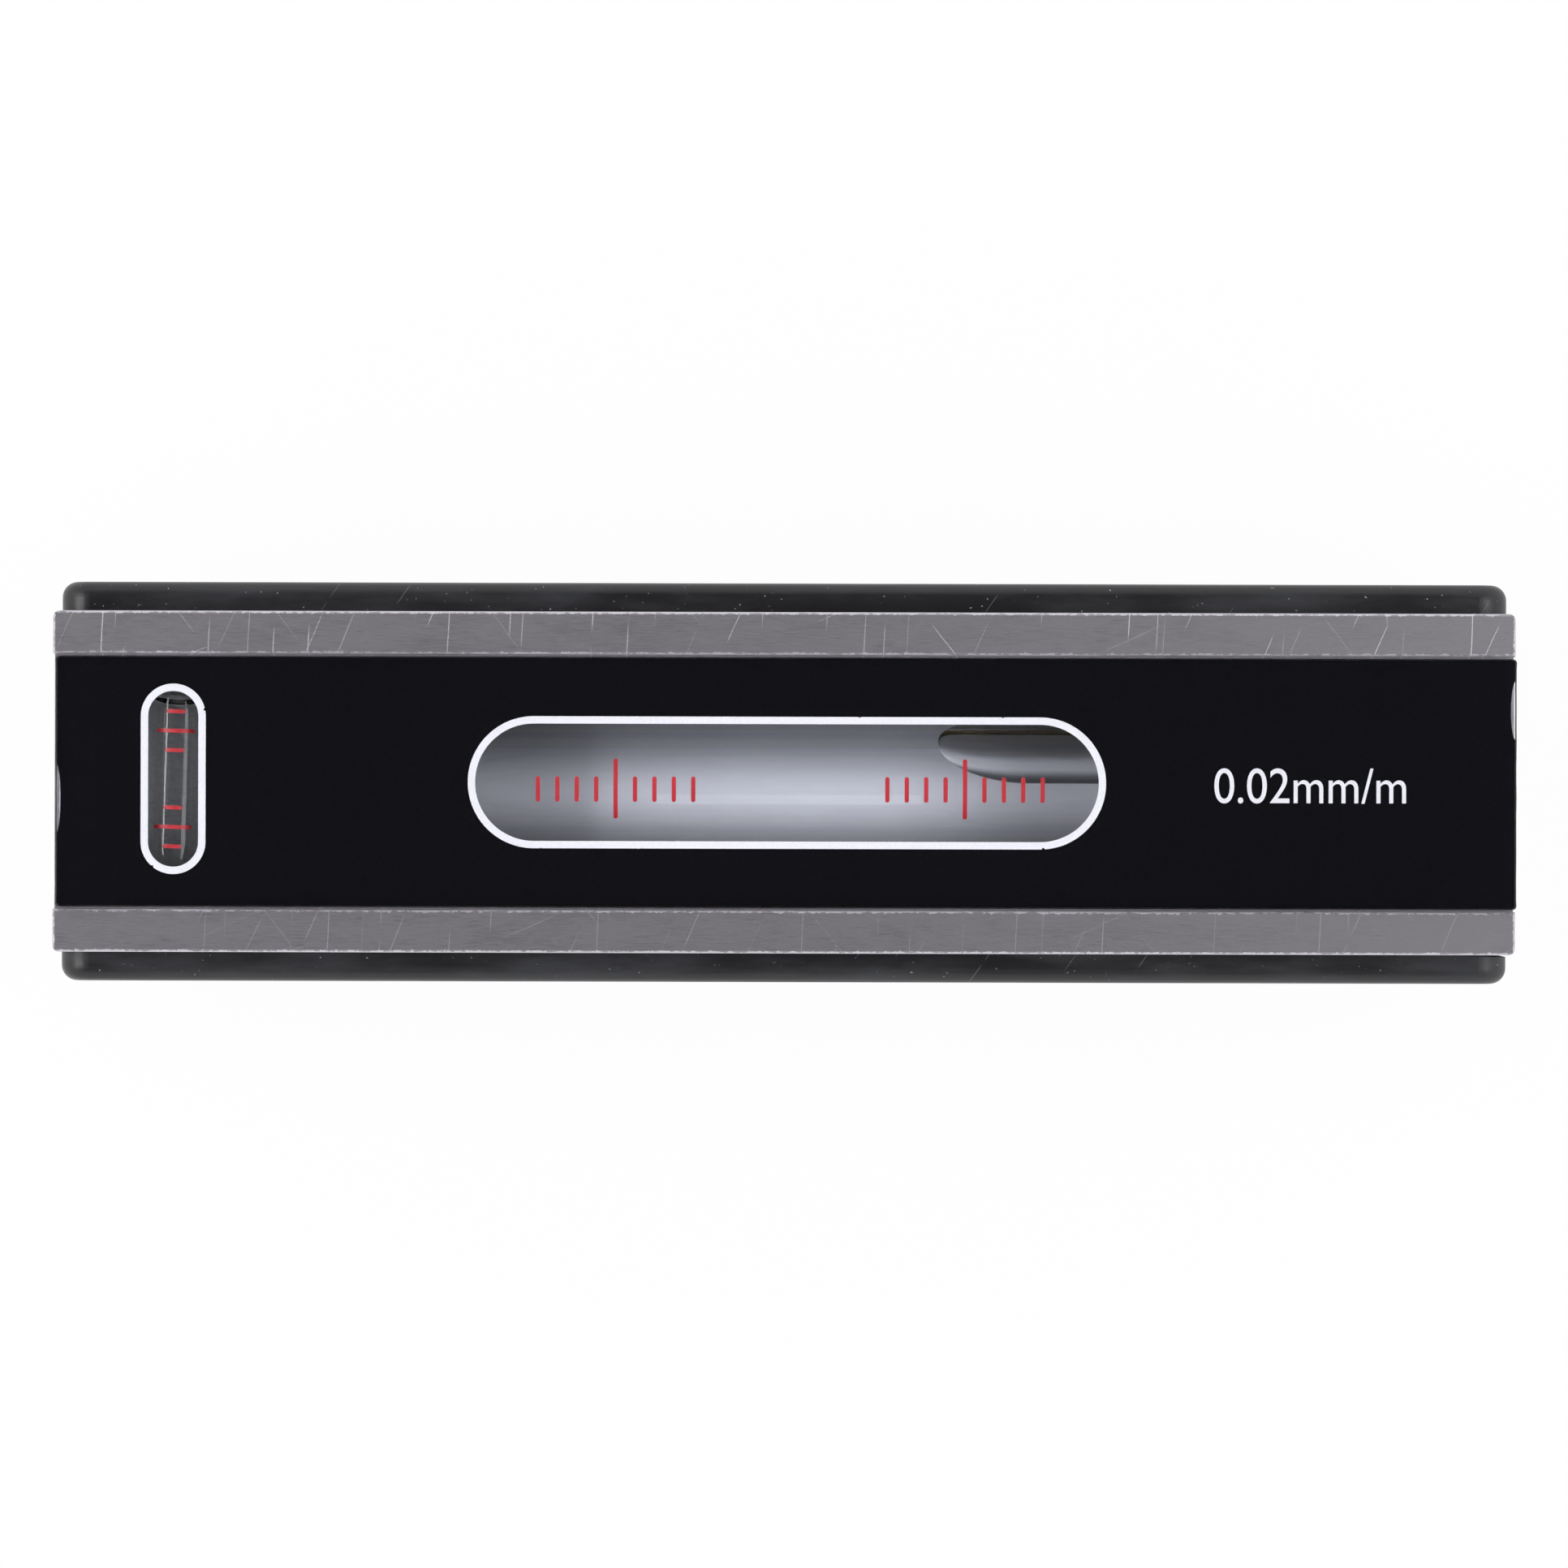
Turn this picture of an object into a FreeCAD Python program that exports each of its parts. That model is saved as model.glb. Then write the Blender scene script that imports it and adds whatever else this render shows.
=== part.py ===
import FreeCAD, Part
import math
import os

# Precision bar level, 150 mm, with a graduated main vial and a small cross vial.
# Frame: origin at the bottom centre of the base, X along the level, Y across it,
# Z up. All sizes in millimetres.

# ---------------------------------------------------------------- casting
casting_length = 150.0
casting_width = 35.0
casting_height = 40.0
rail_width = 4.4
rail_chamfer = 0.25
base_chamfer = 0.6
end_corner_radius = 0.7
vee_width = 20.0
vee_angle = 120.0
vee_relief_width = 2.4
vee_relief_depth = 1.0
pocket_corner_radius = 3.0
side_recess_length = 116.0
side_recess_height = 17.0
side_recess_depth = 2.0
side_recess_radius = 4.0

# ---------------------------------------------------------------- cover
cover_thickness = 2.5
cover_recess = 0.1
cover_side_gap = 0.25
cover_left_inset = 0.25
cover_right_overhang = 0.15
cover_corner_radius = 0.4
cover_edge_chamfer = 0.15
print_thickness = 0.1
adhesive_thickness = 0.2
adhesive_setback = 0.3
main_window_length = 65.6
main_window_width = 13.6
main_window_x = 0.3
cross_window_length = 19.6
cross_window_width = 6.7
cross_window_y = 0.25
border_width = 0.8
left_chip_y = -1.8
left_chip_half_length = 3.5
left_chip_depth = 0.45
right_chip_y = 7.6
right_chip_half_length = 3.0
right_chip_depth = 0.5

# ---------------------------------------------------------------- hand grips
grip_length = 149.0
grip_thickness = 3.05
grip_top_drop = 3.5
grip_bottom_height = 8.0
grip_corner_radius = 3.0
grip_edge_radius = 1.6
grip_wall = 1.9
grip_rim = 2.6
grip_end_pad = 16.0
grip_rib = 1.2
grip_bay_count = 5
grip_lift = 0.3
grip_lift_length = 9.0
finger_panel_length = 112.0
finger_panel_height = 15.0
finger_panel_depth = 0.6
flute_count = 5
flute_width = 1.6
flute_crest = 0.7
flute_depth = 0.5
flute_end_margin = 1.6
grip_screw_inset = 8.5
grip_screw_diameter = 3.0
grip_screw_length = 8.0
grip_screw_head_diameter = 5.5
grip_screw_head_height = 1.6
grip_screw_head_sink = 0.25
grip_screw_clearance = 0.2
grip_screw_slot_width = 0.8
grip_screw_slot_depth = 0.8

# ---------------------------------------------------------------- main vial and its carrier
vial_axis_depth = 12.3
vial_outer_diameter = 14.0
vial_bore_diameter = 11.0
vial_length = 82.0
vial_end_wall = 2.0
vial_x = 0.6
vial_end_chamfer = 1.2
lining_thickness = 0.4
lining_fit = 0.05
lining_opening_angle = 156.0
carrier_wall = 1.0
carrier_slot_width = 14.3
carrier_slot_length = 72.0
carrier_floor_gap = 1.2
carrier_side_gap = 1.0
bed_length = 1.5
plug_engagement = 5.0
plug_fit = 0.02
lug_width = 10.0
lug_thickness = 6.4
pivot_reach = 4.5
pivot_pin_diameter = 3.0
pivot_pin_seat = 4.0
pivot_running_clearance = 0.03
pin_seat_clearance = 0.01
liquid_fit = 0.02
main_mark_width = 0.45
main_mark_height = 0.06
main_mark_pitch = 2.0
main_marks_each_side = 4
main_mark_short = 2.65
main_mark_long = 6.4
main_group_spacing = 36.0
main_scale_y = -0.7
main_bubble_start_x = 15.9
main_bubble_half_angle = 45.0
main_bubble_depth = 2.8
main_bubble_roll = 45.0
main_bubble_tip = 9.5
main_bubble_heel = 3.0
main_bubble_end_gap = 0.6
bubble_clearance = 0.1

# ---------------------------------------------------------------- zero adjuster
screw_reach = 6.0
screw_diameter = 4.0
screw_thread_length = 8.0
screw_tip_chamfer = 0.5
screw_head_diameter = 6.6
screw_head_height = 2.4
screw_slot_width = 1.0
screw_slot_depth = 1.2
screw_running_clearance = 0.06
screw_hole_spare = 1.6
tongue_thickness = 3.0
tongue_width = 9.0
tongue_end_margin = 4.2
tongue_screw_clearance = 0.35
washer_diameter = 8.0
washer_thickness = 0.8
washer_gap = 0.05
washer_clearance = 0.1
spring_wire = 0.7
spring_pitch = 2.8
spring_mean_diameter = 6.2
spring_end_gap = 0.05
spring_seat_depth = 0.8
spring_seat_clearance = 0.4
pocket_end_gap = 1.0

# ---------------------------------------------------------------- cross vial
cross_vial_x = -62.75
cross_vial_y = 0.25
cross_axis_depth = 7.4
cross_vial_diameter = 7.0
cross_vial_bore = 4.6
cross_vial_length = 22.4
cross_vial_skew = 1.8
cross_cap_length = 1.0
cross_vial_floor = 1.6
cradle_side_wall = 0.8
cradle_fit = 0.1
cradle_lip = 0.6
cross_mark_width = 0.4
cross_mark_height = 0.05
cross_mark_short = 2.0
cross_mark_long = 3.9
cross_mark_pitch = 2.0
cross_group_spacing = 9.9
cross_bubble_length = 2.65
cross_bubble_end_gap = 0.15
cross_bubble_chamfer = 0.5

# ---------------------------------------------------------------- worked out from the above
half_length = casting_length / 2
half_width = casting_width / 2
channel_half = half_width - rail_width
cover_top = casting_height - cover_recess
cover_underside = cover_top - cover_thickness
print_underside = cover_underside - print_thickness
ledge_height = print_underside - adhesive_thickness
cover_half_width = channel_half - cover_side_gap
cover_left = -half_length + cover_left_inset
cover_right = half_length + cover_right_overhang

grip_top = casting_height - grip_top_drop
grip_middle = (grip_top + grip_bottom_height) / 2
grip_screw_reach = grip_length / 2 - grip_screw_inset

vial_axis = casting_height - vial_axis_depth
vial_radius = vial_outer_diameter / 2
bore_radius = vial_bore_diameter / 2
carrier_inner_radius = vial_radius + lining_thickness + 2 * lining_fit
carrier_radius = carrier_inner_radius + carrier_wall
vial_left = vial_x - vial_length / 2
vial_right = vial_x + vial_length / 2
carrier_left = vial_left - bed_length - plug_engagement
carrier_right = vial_right + bed_length + plug_engagement
pivot_x = carrier_left - pivot_reach
screw_x = carrier_right + screw_reach
bore_left = vial_left + vial_end_wall
bore_right = vial_right - vial_end_wall
main_bubble_end_x = bore_right - main_bubble_end_gap
pocket_floor = vial_axis - carrier_radius - carrier_floor_gap
pocket_half_width = carrier_radius + carrier_side_gap
pocket_left = pivot_x - lug_thickness / 2 - pocket_end_gap
pocket_right = screw_x + tongue_end_margin + pocket_end_gap

tongue_top = vial_axis + tongue_thickness / 2
tongue_underside = vial_axis - tongue_thickness / 2
washer_underside = tongue_top + washer_gap
head_underside = washer_underside + washer_thickness
spring_seat = pocket_floor - spring_seat_depth
spring_top = tongue_underside - spring_end_gap
screw_end = spring_seat - screw_thread_length
screw_hole_end = screw_end - screw_hole_spare

cross_axis = casting_height - cross_axis_depth
cross_radius = cross_vial_diameter / 2
cross_bore_radius = cross_vial_bore / 2
cross_pocket_floor = cross_axis - cross_radius - cross_vial_floor
cross_pocket_half_x = cross_radius + cradle_side_wall + cradle_fit
cross_pocket_half_y = cross_vial_length / 2 + cross_cap_length

UP = FreeCAD.Vector(0, 0, 1)
ALONG = FreeCAD.Vector(1, 0, 0)
ACROSS = FreeCAD.Vector(0, 1, 0)
OVERCUT = 1.0


# ---------------------------------------------------------------- shape helpers
def block(x_low, x_high, y_low, y_high, z_low, z_high):
    corner = FreeCAD.Vector(x_low, y_low, z_low)
    return Part.makeBox(x_high - x_low, y_high - y_low, z_high - z_low, corner)


def rounded_block(limits, radius, direction):
    """A block whose edges along one direction are rounded."""
    shape = block(*limits)
    edges = [e for e in shape.Edges if abs(e.tangentAt(0).dot(direction)) > 0.99]
    return shape.makeFillet(radius, edges)


def cylinder(radius, start, direction, length):
    return Part.makeCylinder(radius, length, FreeCAD.Vector(*start), direction)


def prism(points, travel):
    outline = Part.makePolygon([FreeCAD.Vector(*p) for p in points + points[:1]])
    return Part.Face(outline).extrude(FreeCAD.Vector(*travel))


def stadium(length, width, x, y, z_low, height, along_y=False):
    """A bar with full round ends, lying in the XY plane and standing up in Z."""
    radius = width / 2
    reach = length / 2 - radius
    corners = [(-reach, -radius), (reach, -radius), (reach, radius), (-reach, radius)]
    points = [FreeCAD.Vector(px, py, z_low) for px, py in corners]
    right_end = Part.Arc(points[1], FreeCAD.Vector(reach + radius, 0, z_low), points[2])
    left_end = Part.Arc(points[3], FreeCAD.Vector(-reach - radius, 0, z_low), points[0])
    sides = [Part.LineSegment(points[0], points[1]), Part.LineSegment(points[2], points[3])]
    edges = [sides[0].toShape(), right_end.toShape(), sides[1].toShape(), left_end.toShape()]
    shape = Part.Face(Part.Wire(edges)).extrude(FreeCAD.Vector(0, 0, height))
    if along_y:
        shape.rotate(FreeCAD.Vector(0, 0, 0), UP, 90)
    shape.translate(FreeCAD.Vector(x, y, 0))
    return shape


def join(shapes):
    whole = shapes[0]
    for shape in shapes[1:]:
        whole = whole.fuse(shape)
    return whole.removeSplitter()


def chamfer_ends(rod, size):
    """Break the two round edges of a plain cylinder."""
    circles = [e for e in rod.Edges if isinstance(e.Curve, Part.Circle)]
    return rod.makeChamfer(size, circles)


def chamfer_rim(shape, height, size):
    """Break the edges that lie in the plane at one height."""
    rim = [e for e in shape.Edges if abs(e.BoundBox.ZMin - height) < 1e-6
           and abs(e.BoundBox.ZMax - height) < 1e-6]
    return shape.makeChamfer(size, rim)


# ---------------------------------------------------------------- casting
def make_casting():
    vee_half = vee_width / 2
    relief_half = vee_relief_width / 2
    half_angle_tan = math.tan(math.radians(vee_angle / 2))
    relief_start = (vee_half - relief_half) / half_angle_tan
    relief_top = vee_half / half_angle_tan + vee_relief_depth
    right_side = [
        (relief_half, relief_top),
        (relief_half, relief_start),
        (vee_half, 0),
        (half_width - base_chamfer, 0),
        (half_width, base_chamfer),
        (half_width, casting_height - rail_chamfer),
        (half_width - rail_chamfer, casting_height),
        (channel_half + rail_chamfer, casting_height),
        (channel_half, casting_height - rail_chamfer),
        (channel_half, ledge_height),
    ]
    left_side = [(-y, z) for y, z in reversed(right_side)]
    section = [(-half_length, y, z) for y, z in right_side + left_side]
    bar = prism(section, (casting_length, 0, 0))
    plan = (-half_length, half_length, -half_width, half_width, 0, casting_height)
    bar = bar.common(rounded_block(plan, end_corner_radius, UP))
    side = [
        (-half_length, base_chamfer),
        (-half_length + base_chamfer, 0),
        (half_length - base_chamfer, 0),
        (half_length, base_chamfer),
        (half_length, casting_height - rail_chamfer),
        (half_length - rail_chamfer, casting_height),
        (-half_length + rail_chamfer, casting_height),
        (-half_length, casting_height - rail_chamfer),
    ]
    outline = [(x, -half_width, z) for x, z in side]
    bar = bar.common(prism(outline, (0, casting_width, 0)))
    return bar.cut(join(casting_pockets())).cut(join(casting_holes()))


def casting_pockets():
    main = (pocket_left, pocket_right, -pocket_half_width, pocket_half_width,
            pocket_floor, casting_height)
    cross = (cross_vial_x - cross_pocket_half_x, cross_vial_x + cross_pocket_half_x,
             cross_vial_y - cross_pocket_half_y, cross_vial_y + cross_pocket_half_y,
             cross_pocket_floor, casting_height)
    pockets = [rounded_block(main, pocket_corner_radius, UP),
               rounded_block(cross, cradle_side_wall, UP)]
    for side in (-1, 1):
        floor = side * (half_width - side_recess_depth)
        mouth = side * (half_width + side_recess_depth)
        limits = (-side_recess_length / 2, side_recess_length / 2, min(floor, mouth), max(floor, mouth),
                  grip_middle - side_recess_height / 2, grip_middle + side_recess_height / 2)
        pockets.append(rounded_block(limits, side_recess_radius, ACROSS))
    return pockets


def casting_holes():
    thread = screw_diameter / 2 + screw_running_clearance
    seat = (spring_mean_diameter + spring_wire) / 2 + spring_seat_clearance
    pin_far_end = -pocket_half_width - pivot_pin_seat
    holes = [
        cylinder(thread, (screw_x, 0, screw_hole_end), UP, pocket_floor - screw_hole_end + OVERCUT),
        cylinder(seat, (screw_x, 0, spring_seat), UP, spring_seat_depth + OVERCUT),
        cylinder(pivot_pin_diameter / 2 + pin_seat_clearance, (pivot_x, pin_far_end, vial_axis),
                 ACROSS, half_width - pin_far_end),
    ]
    depth = grip_screw_length - grip_thickness + grip_screw_head_sink + OVERCUT
    for x, side in grip_screw_places():
        start = (x, side * (half_width + OVERCUT), grip_middle)
        radius = grip_screw_diameter / 2 + pin_seat_clearance
        holes.append(cylinder(radius, start, -side * ACROSS, depth + OVERCUT))
    return holes


def grip_screw_places():
    return [(end * grip_screw_reach, side) for side in (-1, 1) for end in (-1, 1)]


# ---------------------------------------------------------------- cover and its layers
def cover_outline(z_low, z_high):
    limits = (cover_left, cover_right, -cover_half_width, cover_half_width, z_low, z_high)
    return rounded_block(limits, cover_corner_radius, UP)


def make_cover_plate():
    return chamfer_rim(cover_outline(cover_underside, cover_top), cover_top, cover_edge_chamfer)


def window_shapes(inset, z_low, height):
    """The two window openings through one layer, drawn in by an inset on every side."""
    main = stadium(main_window_length - 2 * inset, main_window_width - 2 * inset,
                   main_window_x, 0, z_low, height)
    cross = stadium(cross_window_length - 2 * inset, cross_window_width - 2 * inset,
                    cross_vial_x, cross_window_y, z_low, height, True)
    return [main, cross]


def make_cover_backprint():
    """The black print, open at both windows and flaked off in a half-moon at each end."""
    film = cover_outline(print_underside, cover_underside)
    for window in window_shapes(0, print_underside, print_thickness):
        film = film.cut(window)
    chips = [(cover_left, left_chip_y, left_chip_depth, left_chip_half_length),
             (cover_right, right_chip_y, right_chip_depth, right_chip_half_length)]
    for x, y, depth, reach in chips:
        centre = FreeCAD.Vector(x, y, print_underside)
        tall = centre + FreeCAD.Vector(0, reach, 0)
        wide = centre + FreeCAD.Vector(depth, 0, 0)
        loop = Part.Wire(Part.Ellipse(tall, wide, centre).toShape())
        film = film.cut(Part.Face(loop).extrude(FreeCAD.Vector(0, 0, print_thickness)))
    return film


def make_window_borders():
    outer = window_shapes(0, print_underside, print_thickness)
    inner = window_shapes(border_width, print_underside, print_thickness)
    return Part.makeCompound([ring.cut(hole) for ring, hole in zip(outer, inner)])


def make_cover_adhesive():
    """The die-cut film that sticks the cover to its ledges, open a little wider than the windows."""
    edge = adhesive_setback
    film = block(cover_left + edge, cover_right - edge - cover_right_overhang,
                 -cover_half_width + edge, cover_half_width - edge, ledge_height, print_underside)
    for window in window_shapes(-edge, ledge_height, adhesive_thickness):
        film = film.cut(window)
    return film


# ---------------------------------------------------------------- hand grips
def make_grip(side, lift):
    """A moulded plate: rounded outside, fluted finger panel, ribbed and hollow behind."""
    inner = half_width
    outer = half_width + grip_thickness
    limits = (-grip_length / 2, grip_length / 2, inner, outer, grip_bottom_height, grip_top)
    shell = rounded_block(limits, grip_corner_radius, ACROSS)
    rim = [e for e in shell.Edges if abs(e.BoundBox.YMin - outer) < 1e-6
           and abs(e.BoundBox.YMax - outer) < 1e-6]
    shell = shell.makeFillet(grip_edge_radius, rim)
    shell = shell.cut(finger_panel(outer)).cut(join(grip_bays(inner)))
    shell = shell.cut(join([screw_way(end * grip_screw_reach, outer) for end in (-1, 1)]))
    if lift > 0:
        start = grip_length / 2 - grip_lift_length
        wedge = [(start, inner), (grip_length / 2 + OVERCUT, inner),
                 (grip_length / 2 + OVERCUT, inner + lift)]
        points = [(x, y, 0) for x, y in wedge]
        shell = shell.cut(prism(points, (0, 0, casting_height)))
    if side < 0:
        shell = shell.mirror(FreeCAD.Vector(0, 0, 0), ACROSS)
    return shell


def finger_panel(outer):
    """The shallow rounded hollow in the face, less the flutes left standing in it."""
    base = outer - finger_panel_depth
    panel = rounded_slot(finger_panel_length, finger_panel_height, grip_middle, base,
                         finger_panel_depth + OVERCUT)
    pitch = finger_panel_height / (flute_count + 1)
    end_radius = finger_panel_height / 2
    for number in range(flute_count):
        offset = (number + 1) * pitch - end_radius
        length = finger_panel_length - 2 * end_radius + 2 * math.sqrt(end_radius ** 2 - offset ** 2)
        half = length / 2 - flute_end_margin
        z = grip_middle + offset
        section = [(-half, base, z - flute_width / 2), (-half, base, z + flute_width / 2),
                   (-half, base + flute_depth, z + flute_crest / 2),
                   (-half, base + flute_depth, z - flute_crest / 2)]
        panel = panel.cut(prism(section, (2 * half, 0, 0)))
    return panel


def rounded_slot(length, height, z, y_low, depth):
    """A long slot with round ends, standing in the XZ plane."""
    slot = stadium(length, height, 0, 0, 0, depth)
    slot.rotate(FreeCAD.Vector(0, 0, 0), ALONG, 90)
    slot.translate(FreeCAD.Vector(0, y_low + depth, z))
    return slot


def grip_bays(inner):
    """The hollows between the ribs on the back of a grip."""
    depth = grip_thickness - grip_wall
    x_reach = grip_length / 2 - grip_end_pad
    z_low = grip_bottom_height + grip_rim
    z_high = grip_top - grip_rim
    pitch = (2 * x_reach + grip_rib) / grip_bay_count
    bays = []
    for number in range(grip_bay_count):
        x_low = -x_reach + number * pitch
        for low, high in ((z_low, grip_middle - grip_rib / 2), (grip_middle + grip_rib / 2, z_high)):
            bays.append(block(x_low, x_low + pitch - grip_rib, inner, inner + depth, low, high))
    return bays


def screw_way(x, outer):
    """Clearance hole and counterbore for one grip screw."""
    clearance = grip_screw_clearance
    head = grip_screw_head_diameter / 2 + clearance
    shank = grip_screw_diameter / 2 + clearance
    start = (x, half_width - OVERCUT, grip_middle)
    hole = cylinder(shank, start, ACROSS, grip_thickness + 2 * OVERCUT)
    seat = (x, outer - grip_screw_head_sink - grip_screw_head_height, grip_middle)
    return hole.fuse(cylinder(head, seat, ACROSS, grip_screw_head_height + OVERCUT))


def make_grip_screws(side):
    screws = []
    head_radius = grip_screw_head_diameter / 2
    shank_radius = grip_screw_diameter / 2
    top = half_width + grip_thickness - grip_screw_head_sink
    for end in (-1, 1):
        x = end * grip_screw_reach
        seat = (x, top - grip_screw_head_height, grip_middle)
        head = cylinder(head_radius, seat, ACROSS, grip_screw_head_height)
        shank = cylinder(shank_radius, (x, top - grip_screw_length, grip_middle), ACROSS,
                         grip_screw_length - grip_screw_head_height)
        slot = block(x - head_radius, x + head_radius, top - grip_screw_slot_depth, top + OVERCUT,
                     grip_middle - grip_screw_slot_width / 2, grip_middle + grip_screw_slot_width / 2)
        screws.append(join([head, shank]).cut(slot))
    group = Part.makeCompound(screws)
    if side < 0:
        group = group.mirror(FreeCAD.Vector(0, 0, 0), ACROSS)
    return group


# ---------------------------------------------------------------- main vial carrier
def make_carrier_tube():
    length = carrier_right - carrier_left
    start = (carrier_left, 0, vial_axis)
    tube = cylinder(carrier_radius, start, ALONG, length)
    tube = tube.cut(cylinder(carrier_inner_radius, start, ALONG, length))
    slot = block(vial_x - carrier_slot_length / 2, vial_x + carrier_slot_length / 2,
                 -carrier_slot_width / 2, carrier_slot_width / 2, vial_axis, vial_axis + 2 * carrier_radius)
    return tube.cut(slot)


def make_vial_lining():
    """The white half shell that the vial lies in."""
    start = (vial_left, 0, vial_axis)
    shell = cylinder(carrier_inner_radius - lining_fit, start, ALONG, vial_length)
    shell = shell.cut(cylinder(vial_radius + lining_fit, start, ALONG, vial_length))
    half_opening = math.radians(lining_opening_angle / 2)
    reach = 2 * carrier_radius
    wedge = [(vial_left, 0, vial_axis),
             (vial_left, reach * math.sin(half_opening), vial_axis + reach * math.cos(half_opening)),
             (vial_left, 0, vial_axis + reach),
             (vial_left, -reach * math.sin(half_opening), vial_axis + reach * math.cos(half_opening))]
    return shell.cut(prism(wedge, (vial_length, 0, 0)))


def make_pivot_plug():
    """Round plug in the left end of the tube, with a flat lug that turns on the pin."""
    plug_radius = carrier_inner_radius - plug_fit
    plug = cylinder(plug_radius, (carrier_left, 0, vial_axis), ALONG, plug_engagement)
    lug = block(pivot_x, carrier_left + plug_engagement / 2, -lug_width / 2, lug_width / 2,
                vial_axis - lug_thickness / 2, vial_axis + lug_thickness / 2)
    nose = cylinder(lug_thickness / 2, (pivot_x, -lug_width / 2, vial_axis), ACROSS, lug_width)
    hole = cylinder(pivot_pin_diameter / 2 + pivot_running_clearance,
                    (pivot_x, -lug_width / 2, vial_axis), ACROSS, lug_width)
    return join([plug, lug, nose]).cut(hole)


def make_adjusting_plug():
    """Round plug in the right end of the tube, with the tongue that the screw holds down."""
    plug_radius = carrier_inner_radius - plug_fit
    plug = cylinder(plug_radius, (carrier_right - plug_engagement, 0, vial_axis), ALONG, plug_engagement)
    tongue = block(carrier_right - plug_engagement / 2, screw_x, -tongue_width / 2, tongue_width / 2,
                   tongue_underside, tongue_top)
    eye = cylinder(tongue_width / 2, (screw_x, 0, tongue_underside), UP, tongue_thickness)
    eye = eye.common(block(screw_x - tongue_width, screw_x + tongue_end_margin, -tongue_width,
                           tongue_width, tongue_underside, tongue_top))
    hole = cylinder(screw_diameter / 2 + tongue_screw_clearance, (screw_x, 0, tongue_underside),
                    UP, tongue_thickness)
    return join([plug, tongue, eye]).cut(hole)


def make_vial_beds():
    """The plaster discs that bed the two ends of the vial in the tube."""
    radius = carrier_inner_radius - plug_fit
    left = cylinder(radius, (vial_left - bed_length, 0, vial_axis), ALONG, bed_length)
    right = cylinder(radius, (vial_right, 0, vial_axis), ALONG, bed_length)
    return Part.makeCompound([left, right])


def make_main_glass():
    body = cylinder(vial_radius, (vial_left, 0, vial_axis), ALONG, vial_length)
    return chamfer_ends(body, vial_end_chamfer).cut(main_bore(0))


def main_bore(shrink):
    start = (bore_left + shrink, 0, vial_axis)
    return cylinder(bore_radius - shrink, start, ALONG, bore_right - bore_left - 2 * shrink)


def bubble_form(grow):
    """The gas pocket: a lens at the side of the bore, with a long tip and a blunt heel."""
    half_angle = math.radians(main_bubble_half_angle)
    floor = bore_radius - main_bubble_depth - grow
    half_chord = bore_radius * math.sin(half_angle) + grow
    belly_sag = bore_radius * math.cos(half_angle) - floor
    belly_radius = (half_chord ** 2 + belly_sag ** 2) / (2 * belly_sag)
    start = main_bubble_start_x - grow
    end = main_bubble_end_x + grow
    tip = main_bubble_tip + grow
    heel = main_bubble_heel + grow
    tip_centre = FreeCAD.Vector(start + tip, 0, floor)
    heel_centre = FreeCAD.Vector(end - heel, 0, floor)
    tip_arc = half_oval(tip_centre, tip, half_chord, -1)
    heel_arc = half_oval(heel_centre, heel, half_chord, 1)
    upper = Part.makeLine(FreeCAD.Vector(start + tip, half_chord, floor),
                          FreeCAD.Vector(end - heel, half_chord, floor))
    lower = Part.makeLine(FreeCAD.Vector(start + tip, -half_chord, floor),
                          FreeCAD.Vector(end - heel, -half_chord, floor))
    outline = Part.Wire(Part.__sortEdges__([tip_arc, upper, heel_arc, lower]))
    column = Part.Face(outline).extrude(FreeCAD.Vector(0, 0, main_bubble_depth + 2 * grow))
    column = column.common(cylinder(belly_radius, (start, 0, floor + belly_radius), ALONG, end - start))
    column.rotate(FreeCAD.Vector(0, 0, 0), ALONG, -main_bubble_roll)
    column.translate(FreeCAD.Vector(0, 0, vial_axis))
    return column.common(main_bore(bubble_clearance - grow))


def half_oval(centre, reach, half_chord, direction):
    """Half an ellipse through both sides of the bubble, bulging along X."""
    side_a = centre + FreeCAD.Vector(0, half_chord, 0)
    side_b = centre - FreeCAD.Vector(0, half_chord, 0)
    nose = centre + FreeCAD.Vector(direction * reach, 0, 0)
    if reach > half_chord:
        ellipse = Part.Ellipse(nose, side_a, centre)
    else:
        ellipse = Part.Ellipse(side_a, nose, centre)
    ends = sorted([ellipse.parameter(side_a), ellipse.parameter(side_b)])
    arc = Part.ArcOfEllipse(ellipse, ends[0], ends[1])
    middle = arc.value((ends[0] + ends[1]) / 2)
    if (middle - centre).x * direction < 0:
        arc = Part.ArcOfEllipse(ellipse, ends[1], ends[0] + 2 * math.pi)
    return arc.toShape()


def make_main_liquid():
    return main_bore(liquid_fit).cut(bubble_form(liquid_fit))


def make_main_marks():
    """Two groups of short lines with a long one in the middle of each."""
    outer = cylinder(vial_radius + main_mark_height, (vial_left, 0, vial_axis), ALONG, vial_length)
    skin = outer.cut(cylinder(vial_radius, (vial_left, 0, vial_axis), ALONG, vial_length))
    marks = []
    for group in (-1, 1):
        for step in range(-main_marks_each_side, main_marks_each_side + 1):
            x = vial_x + group * main_group_spacing / 2 + step * main_mark_pitch
            length = main_mark_long if step == 0 else main_mark_short
            line = block(x - main_mark_width / 2, x + main_mark_width / 2, main_scale_y - length / 2,
                         main_scale_y + length / 2, vial_axis, vial_axis + 2 * vial_radius)
            marks.append(skin.common(line))
    return Part.makeCompound(marks)


# ---------------------------------------------------------------- pivot and zero adjuster
def make_pivot_pin():
    reach = pocket_half_width + pivot_pin_seat
    return cylinder(pivot_pin_diameter / 2, (pivot_x, -reach, vial_axis), ACROSS, 2 * reach)


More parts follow.
